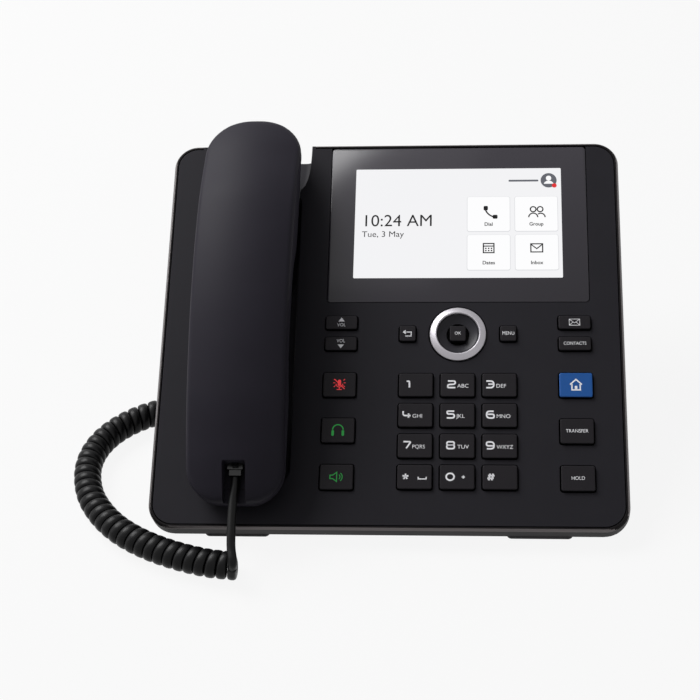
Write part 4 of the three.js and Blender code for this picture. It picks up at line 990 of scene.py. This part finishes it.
on_screen("status_disc", [disc(48.7, 24.7, 4.3)], tile_layer, panel_grey)
figure = [disc(48.7, 26.0, 1.45), disc(48.7, 21.7, 2.8, 20.0, 160.0)]
on_screen("status_figure", figure, mark, panel_tile)
on_screen("status_dot", [disc(51.7, 21.6, 1.3)], dot_layer, panel_red)
joined("home_page", screen_parts)

# Keys: moulded caps with a rounded edge and a very slightly crowned top, each on its own
# slide. Their marks are printed in pale ink, and the lit ones in red or green.
key_plastic = finish("key plastic", (31, 29, 32), 0.45, grain=2600.0, depth=0.06, specular=0.1)
blue_plastic = finish("blue key plastic", (18, 79, 148), 0.36, grain=2600.0, depth=0.04,
                      specular=0.3, mottle=0.04)
# Painted shade: a near-black copy of the key plastic on the cap sides, where the gaps round the
# keys are in shade.
key_side_painted_shade = finish("unlit key skirt", (6, 6, 7), 0.6, depth=0.1, specular=0.04)
pale_ink = finish("pale print", (242, 242, 244), 0.5, depth=0.0, mottle=0.02)
red_ink = lit("red lit mark", (202, 50, 54))
green_ink = lit("green lit mark", (22, 116, 46))
key_proud = 0.0015
key_edge = 0.0004
key_root = -0.0033
mark_height = key_proud + 0.00003


def key_cap(node, material, slot):
    """A cap in the place of its construction solid, with a finely rounded upper edge and painted
    shade on its sides.
    """
    u, v, width, height = key_places[node]
    turns = [math.pi / 2 * k / 5 for k in range(6)]
    levels = [(0, key_root)] + [
        (-key_edge * (1 - math.cos(t)), key_proud - key_edge * (1 - math.sin(t))) for t in turns
    ]
    levels.append((-key_edge * 2.2, key_proud + 0.00001))
    cap = stacked(node + "_cap", (u, v), (width, height), key_corner, levels, steps=6)
    dress(cap, node.replace("_", " "), slot, material, node)
    cap.data.materials.append(key_side_painted_shade)
    top_middle = on_face(u, v, key_proud)
    # Faces below the rounded top get the painted shade.
    for polygon in cap.data.polygons:
        if (Vector(polygon.center) - top_middle).dot(face_outward) < -key_edge:
            polygon.material_index = 1
    return cap


key_places["ok_key"] = (*rocker_centre, *small_key_size)
for node in key_places:
    blue = node == "home_key"
    key_cap(node, blue_plastic if blue else key_plastic, "blue_key" if blue else "key")


def key_words(node, words, size, x=0.0, y=0.0, material=pale_ink, **style):
    """Printed words on a key, placed from its middle in millimetres."""
    u, v = key_places[node][:2]
    return lettering(node + "_word", words, (u + x / 1000, v + y / 1000), size, mark_height,
                     material, node.replace("_", " "), **style)


def key_marks(node, loops, material=pale_ink):
    """Printed marks on a key, drawn about its middle in millimetres."""
    return flat_piece(node + "_mark", loops, key_places[node][:2], mark_height, material,
                      node.replace("_", " "))


def round_corner(before, here, after, radius, most, steps):
    """Points of a corner drawn round, which takes at most a share of its two sides."""
    here = Vector(here)
    way_in, way_out = Vector(before) - here, Vector(after) - here
    cut = min(radius, way_in.length * most, way_out.length * most)
    start, end = here + way_in.normalized() * cut, here + way_out.normalized() * cut
    return [tuple(start * (1 - t) ** 2 + here * 2 * t * (1 - t) + end * t ** 2)
            for t in (step / steps for step in range(steps + 1))]


def bent(points, radius=0.9):
    """A line whose corners are drawn round."""
    line = [points[0]]
    for before, here, after in zip(points, points[1:], points[2:]):
        line += round_corner(before, here, after, radius, 0.48, 5)
    return line + [points[-1]]


digit_width, digit_height, digit_stroke = 4.8, 4.4, 0.84
digit_lines = {
    "1": [bent([(-0.62, 0.92), (0.1, 0.92), (0.1, -1)], 0.5)],
    "2": [bent([(-0.95, 1), (0.95, 1), (0.95, 0.05), (-0.95, -0.1), (-0.95, -1)]),
          [(-0.98, -1), (1.0, -1)]],
    "3": [bent([(-0.95, 1), (0.95, 1), (0.95, -1), (-0.98, -1)]), [(-0.45, 0.05), (0.9, 0.05)]],
    "4": [bent([(-0.95, 1), (-0.95, -0.35), (0.98, -0.35)]), [(0.45, 0.3), (0.45, -1)]],
    "5": [[(0.95, 1), (-0.85, 1)],
          bent([(-0.85, 1), (-0.85, 0.15), (0.95, 0.15), (0.95, -1), (-0.95, -1)])],
    "6": [bent([(0.85, 1), (-0.95, 1), (-0.95, -1), (0.95, -1), (0.95, 0.12), (-0.9, 0.12)])],
    "7": [bent([(-0.98, 1), (0.95, 1), (-0.25, -1)], 0.5)],
    "8": [bent([(0, 1), (0.92, 1), (0.92, 0.05), (0, 0.05), (-0.92, 0.05), (-0.92, 1), (0, 1)]),
          bent([(0, 0.05), (0.95, 0.05), (0.95, -1), (-0.95, -1), (-0.95, 0.05), (0, 0.05)])],
    "9": [bent([(-0.85, -1), (0.95, -1), (0.95, 1), (-0.95, 1), (-0.95, -0.12), (0.9, -0.12)])],
    "0": [arc(0, 0, 1.0, 0, 360, 30)],
    "*": [[(0, 0), (0.85 * math.cos(math.radians(a)), 0.85 * math.sin(math.radians(a)))]
          for a in (90, 162, 234, 306, 18)],
    "#": [[(-0.95, -0.38), (0.75, -0.38)], [(-0.75, 0.38), (0.95, 0.38)],
          [(-0.6, -0.95), (-0.2, 0.95)], [(0.2, -0.95), (0.6, 0.95)]],
    "+": [[(-0.42, 0), (0.42, 0)], [(0, -0.42), (0, 0.42)]],
}


def digit(sign, x, y=0.3, stroke=digit_stroke):
    """Outlines of a wide rounded sign about a place on its key, in millimetres."""
    loops = []
    half_x = (digit_width - digit_stroke) / 2
    half_y = (digit_height - digit_stroke) / 2
    for line in digit_lines[sign]:
        points = [(x + px * half_x, y + py * half_y) for px, py in line]
        if sign in "*+#":
            points = [(x + px * half_y * 1.05, y + py * half_y) for px, py in line]
        loops += strip(points, stroke)
    return loops


dial_prints = {"key_1": ("1", -3.5, "", 0), "key_2": ("2", -3.1, "ABC", -0.2),
               "key_3": ("3", -4.8, "DEF", -1.8), "key_4": ("4", -4.4, "GHI", -1.6),
               "key_5": ("5", -3.5, "JKL", -0.5), "key_6": ("6", -4.7, "MNO", -1.7),
               "key_7": ("7", -3.9, "PQRS", -1.5), "key_8": ("8", -3.4, "TUV", 0.0),
               "key_9": ("9", -4.8, "WXYZ", -1.6), "key_star": ("*", -4.5, "", 0),
               "key_0": ("0", -3.5, "", 0), "key_hash": ("#", -4.5, "", 0)}
for node, (sign, x, words, words_x) in dial_prints.items():
    parts = [key_marks(node, digit(sign, x, 0.1 if sign in "*0#" else 0.3))]
    if words:
        parts.append(key_words(node, words, 1.95, words_x, -0.6, align="LEFT",
                               stretch=0.98 if words in ("PQRS", "WXYZ") else 1.08))
    if sign == "*":
        parts.append(key_marks(node, strip([(1.9, 0.0), (1.9, -1.1), (5.9, -1.1), (5.9, 0.0)],
                                           0.55)))
    if sign == "0":
        parts.append(key_marks(node, digit("+", 3.1, 0.0, 0.6)))
    joined(node + "_print", parts)
for node, words, size, stretch in (
    ("hold_key", "HOLD", 1.75, 0.98), ("transfer_key", "TRANSFER", 1.75, 0.95),
    ("contacts_key", "CONTACTS", 1.65, 0.92), ("menu_key", "MENU", 1.9, 0.84),
    ("ok_key", "OK", 1.6, 1.0),
):
    joined(node + "_print", [key_words(node, words, size, stretch=stretch)])
for name, arrow, words_y in (
    ("volume_up", [(-1.7, 0.5), (1.7, 0.5), (0.0, 2.7)], -1.4),
    ("volume_down", [(-1.7, -0.5), (0.0, -2.7), (1.7, -0.5)], 1.4),
):
    joined(name + "_print", [key_marks(name + "_key", [arrow]),
                             key_words(name + "_key", "VOL", 1.8, 0, words_y, stretch=0.9)])
envelope = strip([(-2.7, 1.7), (2.7, 1.7), (2.7, -1.7), (-2.7, -1.7)], 0.26, True)
envelope += strip([(-2.6, 1.6), (0, -0.4), (2.6, 1.6)], 0.24)
envelope += strip([(-2.6, -1.6), (-0.7, 0.1)], 0.24) + strip([(2.6, -1.6), (0.7, 0.1)], 0.24)
back_arrow = strip([(-1.8, 0.7), (1.9, 0.7), (1.9, -1.5), (-1.2, -1.5)], 0.45)
back_arrow += [[(-2.6, 0.7), (-1.0, 1.9), (-1.0, -0.5)]]
home = strip([(-3.0, 0.2), (0, 2.9), (3.0, 0.2)], 0.7)
home += strip([(-2.1, 0.4), (-2.1, -2.7), (2.1, -2.7), (2.1, 0.4)], 0.7)
home += [plate(1.3, 2.0, 0.2, 0.0, -1.5)]
headset = strip(arc(0, 0.2, 2.7, 0, 180, 22), 0.6)
headset += [plate(1.3, 3.0, 0.55, -2.6, -1.5), plate(1.3, 3.0, 0.55, 2.6, -1.5)]
speaker = strip([(-3.2, 0.9), (-1.8, 0.9), (0.2, 2.4), (0.2, -2.4), (-1.8, -0.9), (-3.2, -0.9)],
                0.5, True)
speaker += strip(arc(0.4, 0, 1.5, -50, 50, 10), 0.45) + strip(arc(0.4, 0, 2.6, -50, 50, 12), 0.45)
mute = [plate(1.7, 3.4, 0.8, 0, 0.9)]
mute += strip(arc(0, 0.4, 1.75, 180, 360, 14), 0.4) + strip([(0, -1.5), (0, -2.6)], 0.4)
mute += strip([(-1.3, -2.7), (1.3, -2.7)], 0.4) + strip([(-2.6, 2.9), (2.7, -2.4)], 0.45)
for side in (-1, 1):
    mute += strip([(side * 2.2, 0.9), (side * 3.2, 0.9)], 0.35)
    mute += strip([(side * 2.0, 2.2), (side * 2.9, 2.9)], 0.35)
    mute += strip([(side * 2.0, -0.6), (side * 2.9, -1.3)], 0.35)
for name, loops, ink in (
    ("message", envelope, pale_ink), ("back", back_arrow, pale_ink), ("home", home, pale_ink),
    ("headset", headset, green_ink), ("speaker", speaker, green_ink), ("mute", mute, red_ink),
):
    joined(name + "_print", [key_marks(name + "_key", loops, ink)])

# Navigation rocker: a bright spun ring over a dark dish that narrows to the OK key.
# Ring and dish tip together on a gimbal under the face.


def turned(name, centre, profile, segments=112):
    """A closed profile of radius and height, turned about the face normal."""
    verts, faces = [], []
    count = len(profile)
    for segment in range(segments):
        angle = segment / segments * math.tau
        for radius, height in profile:
            verts.append(on_face(centre[0] + radius * math.cos(angle),
                                 centre[1] + radius * math.sin(angle), height))
    for segment in range(segments):
        following = (segment + 1) % segments
        for step in range(count):
            a, b = segment * count + step, segment * count + (step + 1) % count
            c, d = following * count + (step + 1) % count, following * count + step
            faces.append((a, d, c, b))
    shape = mesh_piece(name, verts, faces)
    shape.data.set_sharp_from_angle(angle=math.radians(38))
    return shape


ring_metal = finish("satin ring metal", (168, 165, 170), 0.46, grain=500.0, depth=0.03,
                    metallic=0.8, spread=0.1, mottle=0.03)
ring_corners = [(0.0109, -0.0006), (0.0146, -0.0006), (0.0146, 0.0007), (0.0115, 0.0025),
                (0.0109, 0.0019)]
ring_edge = 0.0003
ring_profile = []
for before, here, after in zip(ring_corners[-1:] + ring_corners, ring_corners,
                               ring_corners[1:] + ring_corners[:1]):
    ring_profile += round_corner(before, here, after, ring_edge, 0.45, 4)
dress(turned("rocker_ring", rocker_centre, ring_profile), "rocker ring", "silver", ring_metal,
      "nav_ring")
bowl_steps = 12
bowl = [(0.0106 - 0.00465 * share, 0.0009 - 0.0018 * share ** 0.62)
        for share in (step / bowl_steps for step in range(bowl_steps))]
dish_profile = [(0.00595, -0.00365), (0.0086, -0.00365), (0.0086, -0.0026), (0.0146, -0.0026),
                (0.0146, -0.0009), (0.0108, -0.0009), (0.0108, 0.0007)] + bowl + [
                    (0.00595, -0.0009)]
dish_plastic = finish("dish plastic", (38, 37, 42), 0.34, grain=2600.0, depth=0.04,
                      specular=0.15)
dress(turned("rocker_dish", rocker_centre, dish_profile), "rocker ring", "key", dish_plastic,
      "nav_dish")

# Handset: two satin shells that meet along its arch, crowned outside and waisted inside,
# with an ear cup, a mouth cup and a pocket where the cord plugs in.
handset_plastic = finish("handset plastic", (36, 34, 41), 0.5, grain=2400.0, depth=0.1,
                         specular=0.07)
handset_half = 0.02575
handset_taper = 0.957
handset_low, handset_high = 0.0076, 0.2195
handset_crown = 0.040
handset_sag = 0.005
low_corner, high_corner = 0.01737, 0.02302
crown_shares = [
    (0, 0.41), (0.03, 0.5), (0.11, 0.665), (0.25, 0.865), (0.485, 1), (0.73, 0.91),
    (0.906, 0.63), (0.975, 0.48), (1, 0.4),
]
belly_shares = [
    (0, 0.13), (0.05, 0.06), (0.25, 0.06), (0.34, 0.25), (0.42, 0.31), (0.54, 0.31), (0.6, 0.25),
    (0.67, 0.07), (0.93, 0.06), (0.97, 0.08), (1, 0.13),
]
parting_drop = 0.0032
shell_edge = 0.0022


def handset_share(v):
    """How far along the handset a place is, from its mouth end."""
    return min(max((v - handset_low) / (handset_high - handset_low), 0), 1)


def on_handset(x, v, w):
    """A point of the handset, which narrows a little towards its mouth end."""
    return on_face(handset_u + x * (handset_taper + (1 - handset_taper) * handset_share(v)), v, w)


def half_width(v):
    """Half the width of the handset at a place along it, narrower in its round ends."""
    for end, corner in ((v - handset_low, low_corner), (handset_high - v, high_corner)):
        if end < corner:
            return handset_half - corner + math.sqrt(max(corner ** 2 - (corner - end) ** 2, 0))
    return handset_half


def inside_by(x, v):
    """Distance from a point of the handset's plan to its outline."""
    best = min(handset_half - abs(x), v - handset_low, handset_high - v)
    for end, corner in ((v - handset_low, low_corner), (handset_high - v, high_corner)):
        across = abs(x) - (handset_half - corner)
        if end < corner and across > 0:
            best = corner - math.hypot(across, corner - end)
    return max(best, 0.0)


def crown_height(x, v):
    """Height of the outer face above the phone's face."""
    crown = handset_crown * along(crown_shares, handset_share(v))
    depth = inside_by(x, v)
    drop = 0.0
    if depth < shell_edge:
        drop = shell_edge - math.sqrt(shell_edge ** 2 - (shell_edge - depth) ** 2)
    return crown - handset_sag * (x / handset_half) ** 2 - drop


def parting_height(v):
    """Height of the line where the two shells meet."""
    return handset_crown * along(crown_shares, handset_share(v)) - handset_sag - parting_drop


def end_weighted(count):
    """Places from 0 to 1 that lie closer together near both ends."""
    return [(1 - math.cos(math.pi * k / (count - 1))) / 2 for k in range(count)]


def outer_shell():
    """The crowned shell, closed below along the parting line."""
    rows, columns = 120, 41
    close = [k / 8 * 0.02 for k in range(9)]
    shares = {*close, *[1 - share for share in close], *np.linspace(0.02, 0.98, rows - 18)}
    places = [handset_low + (handset_high - handset_low) * share for share in sorted(shares)]
    across = [2 * share - 1 for share in end_weighted(columns)]
    verts = []
    for v in places:
        half = half_width(v)
        for share in across:
            x = half * share
            verts.append(on_handset(x, v, crown_height(x, v)))
    top = len(verts)
    for v in places:
        half = half_width(v) - 0.00005
        for share in across:
            verts.append(on_handset(half * share, v, parting_height(v) + seat_gap / 2))
    faces = []
    for row in range(len(places) - 1):
        for column in range(columns - 1):
            a = row * columns + column
            faces.append((a, a + 1, a + columns + 1, a + columns))
            faces.append((top + a, top + a + columns, top + a + columns + 1, top + a + 1))
    count = len(places)
    rim = list(range(columns))
    rim += [row * columns + columns - 1 for row in range(1, count)]
    rim += [(count - 1) * columns + column for column in range(columns - 2, -1, -1)]
    rim += [row * columns for row in range(count - 2, 0, -1)]
    for here, following in zip(rim, rim[1:] + rim[:1]):
        faces.append((here, top + here, top + following, following))
    return mesh_piece("handset_back", verts, faces)


def inner_shell():
    """The waisted shell below the parting line, a closed loft along the handset."""
    stations = 96
    places = [handset_low + 0.0003 + (handset_high - handset_low - 0.0006) * share
              for share in end_weighted(stations)]
    rings = []
    draft, rounding = 0.0014, 0.004
    for v in places:
        half = half_width(v) - 0.0001
        high = parting_height(v) - seat_gap / 2
        low = handset_crown * along(belly_shares, handset_share(v))
        low = min(low, high - 0.003)
        turn = min(rounding, (high - low) * 0.6, half * 0.5)
        right = [(half, high)]
        right.append((half - draft * 0.15, high - (high - low - turn) * 0.35))
        right.append((half - draft * 0.6, high - (high - low - turn) * 0.7))
        for step in range(9):
            angle = math.pi / 2 * step / 8
            right.append((half - draft - turn * (1 - math.cos(angle)),
                          low + turn * (1 - math.sin(angle))))
        inner = [(right[-1][0] * share, low) for share in (0.6, 0.2, -0.2, -0.6)]
        left = [(-x, w) for x, w in reversed(right)]
        lid = [(left[-1][0] * share, high) for share in (0.5, 0.0, -0.5)]
        rings.append([on_handset(x, v, w) for x, w in right + inner + left + lid])
    count = len(rings[0])
    verts = [point for ring in rings for point in ring]
    faces = []
    for row in range(len(rings) - 1):
        for step in range(count):
            a, b = row * count + step, row * count + (step + 1) % count
            faces.append((a, a + count, b + count, b))
    last = (len(rings) - 1) * count
    faces.append(tuple(range(count)))
    faces.append(tuple(range(last + count - 1, last - 1, -1)))
    return mesh_piece("handset_front", verts, faces)


def pocket_room():
    """Room of the cord pocket at the mouth end, open towards the end and the outside."""
    return stacked("pocket_room", (handset_u, 0.0135), (0.0116, 0.026), 0.0009,
                   [(0, 0.0122), (0, 0.05)])


def cup(name, low_v, high_v, width, corner, depth):
    """Cup that hangs below the inner shell into its well, with a rounded rim."""
    edge = 0.0015
    turns = [math.pi / 2 * k / 5 for k in range(6)]
    levels = [(-edge * (1 - math.sin(t)), -depth + edge * (1 - math.cos(t))) for t in turns]
    return stacked(name, (handset_u, (low_v + high_v) / 2), (width, high_v - low_v), corner,
                   levels + [(0, 0.006)], steps=10)


back = evened(cut_by(outer_shell(), [pocket_room()]), 42.0)
dress(back, "handset", "handset", handset_plastic, "handset_outer_shell")
front = cut_by(inner_shell(), [pocket_room()])
front = cut_by(front, [cup("ear_cup", 0.143, 0.203, 0.043, 0.017, 0.011),
                       cup("mouth_cup", 0.026, 0.058, 0.038, 0.012, 0.009)], "UNION")
sound_slots = []
for middle_v, pitch, length, depth in ((0.170, 0.005, 0.012, 0.011), (0.042, 0.0034, 0.005, 0.009)):
    for row in (-1, 0, 1):
        sound_slots.append(stacked("sound_slot", (handset_u, middle_v + row * pitch),
                                   (length, 0.0016), 0.0007, [(0, -depth - 0.001),
                                                              (0, -depth + 0.0015)]))
front = evened(cut_by(front, sound_slots), 42.0)
dress(front, "handset", "handset", handset_plastic, "handset_inner_shell")

# Plugs and jacks: modular plugs with their springy latches, and the socket housings that
# hang under the board behind the jack bay. Their contacts are gold-plated wires in a row.
dark_clear = finish("smoked plug plastic", (16, 16, 18), 0.2, grain=500.0, depth=0.0,
                    specular=0.3)
jack_plastic = finish("jack plastic", (26, 26, 28), 0.5)
jack_steel = finish("tinned jack shell", (176, 176, 180), 0.35, grain=600.0, metallic=1.0)


def refinished(node, material):
    """Gives one of the construction's own solids a better finish."""
    solid = frame["nodes"][node]
    solid.data.materials.clear()
    solid.data.materials.append(material)


for node in ("handset_plug", "base_plug"):
    refinished(node, dark_clear)
for node, slot, material in (("handset_jack", "jack_plastic", jack_plastic),
                             ("headset_jack", "jack_plastic", jack_plastic),
                             ("network_jacks", "jack_metal", jack_steel),
                             ("power_jack", "jack_plastic", jack_plastic)):
    dress(softened(node + "_housing", node, 0.0002), "base", slot, material, node)


def copies_tree(name, inputs, material):
    """Start of a tree of copies with named inputs, which ends in real copies in a material."""
    tree = bpy.data.node_groups.new(name, "GeometryNodeTree")
    tree.is_modifier = True
    tree.interface.new_socket("Geometry", in_out="OUTPUT", socket_type="NodeSocketGeometry")
    sockets = {}
    for label, kind in inputs:
        socket = tree.interface.new_socket(label, in_out="INPUT", socket_type="NodeSocket" + kind)
        sockets[label] = socket.identifier
    given = new_node(tree, "NodeGroupInput")
    copies = new_node(tree, "GeometryNodeInstanceOnPoints")
    real = new_node(tree, "GeometryNodeRealizeInstances")
    painted = new_node(tree, "GeometryNodeSetMaterial", {"Material": material})
    wired(tree, (
        (copies, "Instances", real, "Geometry"), (real, "Geometry", painted, "Geometry"),
        (painted, "Geometry", new_node(tree, "NodeGroupOutput"), "Geometry"),
    ))
    return tree, sockets, given, copies


gold = finish("gold contact", (214, 176, 92), 0.25, grain=500.0, metallic=1.0)
contact_row, contact_inputs, given, copies = copies_tree(
    "contact row", (("Count", "Int"), ("Pitch", "Float"), ("Length", "Float"),
                    ("Thickness", "Float")), gold)
row = new_node(contact_row, "GeometryNodeMeshLine")
step = new_node(contact_row, "ShaderNodeCombineXYZ")
wire = new_node(contact_row, "GeometryNodeMeshCylinder", {"Vertices": 10}, fill_type="NGON")
radius = new_node(contact_row, "ShaderNodeMath", {1: 0.5}, operation="MULTIPLY")
wired(contact_row, (
    (given, "Count", row, "Count"), (given, "Pitch", step, "X"), (step, 0, row, "Offset"),
    (given, "Thickness", radius, 0), (radius, 0, wire, "Radius"), (given, "Length", wire, "Depth"),
    (row, "Mesh", copies, "Points"), (wire, "Mesh", copies, "Instance"),
))
contact_thickness, contact_slope = 0.00035, 62.0


def contacts(name, u, v, w, count, pitch, length):
    """Contact wires of one socket, slanting inwards from its mouth."""
    carrier = shown(name, bpy.data.meshes.new(name))
    modifier = carrier.modifiers.new("row", "NODES")
    modifier.node_group = contact_row
    for socket, value in (("Count", count), ("Pitch", pitch), ("Length", length),
                          ("Thickness", contact_thickness)):
        modifier[contact_inputs[socket]] = value
    settled(carrier)
    first = u - (count - 1) * pitch / 2
    lean = Matrix.Rotation(math.radians(contact_slope), 3, "X")
    for vert in carrier.data.vertices:
        local = lean @ Vector((0, vert.co.y, vert.co.z))
        vert.co = on_face(first + vert.co.x, v + local.y, w + local.z)
    carrier.data.shade_smooth()
    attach(carrier, "base")


contacts("headset_contacts", 0.004, 0.0985, -0.0176, 4, 0.00127, 0.006)
contacts("network_contacts_1", 0.028, 0.1000, -0.0200, 8, 0.00102, 0.008)
contacts("network_contacts_2", 0.044, 0.1000, -0.0200, 8, 0.00102, 0.008)

# Screws: the four case screws sit deep in wells of the rear cover.
# They are zinc-plated pan heads with a cross recess.
screw_radius = 0.0028
screw_reach, screw_rows, screw_seat = 0.1066, (0.048, 0.197), -0.0252
zinc = finish("zinc plate", (168, 168, 172), 0.32, grain=800.0, metallic=1.0)
screw_tree, screw_inputs, given, copies = copies_tree(
    "case screws", (("Geometry", "Geometry"), ("Head", "Object"), ("Lean", "Float")), zinc)
head_shape = new_node(screw_tree, "GeometryNodeObjectInfo")
head_turn = new_node(screw_tree, "ShaderNodeCombineXYZ")
wired(screw_tree, (
    (given, "Geometry", copies, "Points"), (given, "Head", head_shape, "Object"),
    (given, "Lean", head_turn, "X"), (head_turn, 0, copies, "Rotation"),
    (head_shape, "Geometry", copies, "Instance"),
))


def cross_head():
    """Pan head with a cross recess, its bearing face at the origin and its top towards -Z."""
    shape = bmesh.new()
    arm, reach, deep, tall = screw_radius * 0.16, screw_radius * 0.62, 0.0009, 0.0016
    cross = [(arm, arm), (arm, reach), (-arm, reach), (-arm, arm), (-reach, arm), (-reach, -arm),
             (-arm, -arm), (-arm, -reach), (arm, -reach), (arm, -arm), (reach, -arm), (reach, arm)]
    rim = [(screw_radius * 0.8 * math.cos(k / 24 * math.tau),
            screw_radius * 0.8 * math.sin(k / 24 * math.tau)) for k in range(24)]
    inner = [shape.verts.new((x, y, -tall)) for x, y in cross]
    outer = [shape.verts.new((x, y, -tall)) for x, y in rim]
    loops = [shape.edges.new((a, b)) for ring in (inner, outer)
             for a, b in zip(ring, ring[1:] + ring[:1])]
    bmesh.ops.triangle_fill(shape, edges=loops, use_beauty=True)
    sides = [(0.95, -tall * 0.8), (1.0, -tall * 0.4), (1.0, 0.0)]
    ring = outer
    for share, z in sides:
        following = [shape.verts.new((x / 0.8 * share, y / 0.8 * share, z)) for x, y in rim]
        for k in range(24):
            shape.faces.new((ring[k], ring[(k + 1) % 24], following[(k + 1) % 24], following[k]))
        ring = following
    shape.faces.new(ring)
    pit = [shape.verts.new((x * 0.8, y * 0.8, -tall + deep)) for x, y in cross]
    for k in range(12):
        shape.faces.new((inner[k], inner[(k + 1) % 12], pit[(k + 1) % 12], pit[k]))
    shape.faces.new(pit)
    bmesh.ops.recalc_face_normals(shape, faces=shape.faces)
    mesh = bpy.data.meshes.new("cross_head")
    shape.to_mesh(mesh)
    shape.free()
    return bpy.data.objects.new("cross_head", mesh)


screw_mesh = bpy.data.meshes.new("case_screws")
screw_mesh.from_pydata([tuple(on_face(side * screw_reach, v, screw_seat))
                        for side in (-1, 1) for v in screw_rows], [], [])
screws = shown("case_screws", screw_mesh)
head = cross_head()
screw_modifier = screws.modifiers.new("screws", "NODES")
screw_modifier.node_group = screw_tree
screw_modifier[screw_inputs["Head"]] = head
screw_modifier[screw_inputs["Lean"]] = tilt
settled(screws)
bpy.data.objects.remove(head)
screws.data.set_sharp_from_angle(angle=math.radians(35))
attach(screws, "base")

# Inner pieces keep the construction's own solids: board, key mat, display module, drivers.
# They show only through slots and gaps.
board_green = finish("solder mask", (30, 92, 56), 0.4, grain=300.0, depth=0.1, mottle=0.25)
inner_metal = finish("plain inner metal", (150, 150, 154), 0.4, grain=700.0, metallic=0.9)
for node, material in (
    ("display_module", inner_metal), ("key_mat", rubber), ("main_board", board_green),
    ("speaker_driver", inner_metal), ("hook_plunger", key_plastic), ("nav_carrier", jack_plastic),
    ("handset_socket", jack_plastic), ("receiver", inner_metal), ("microphone", inner_metal),
):
    refinished(node, material)
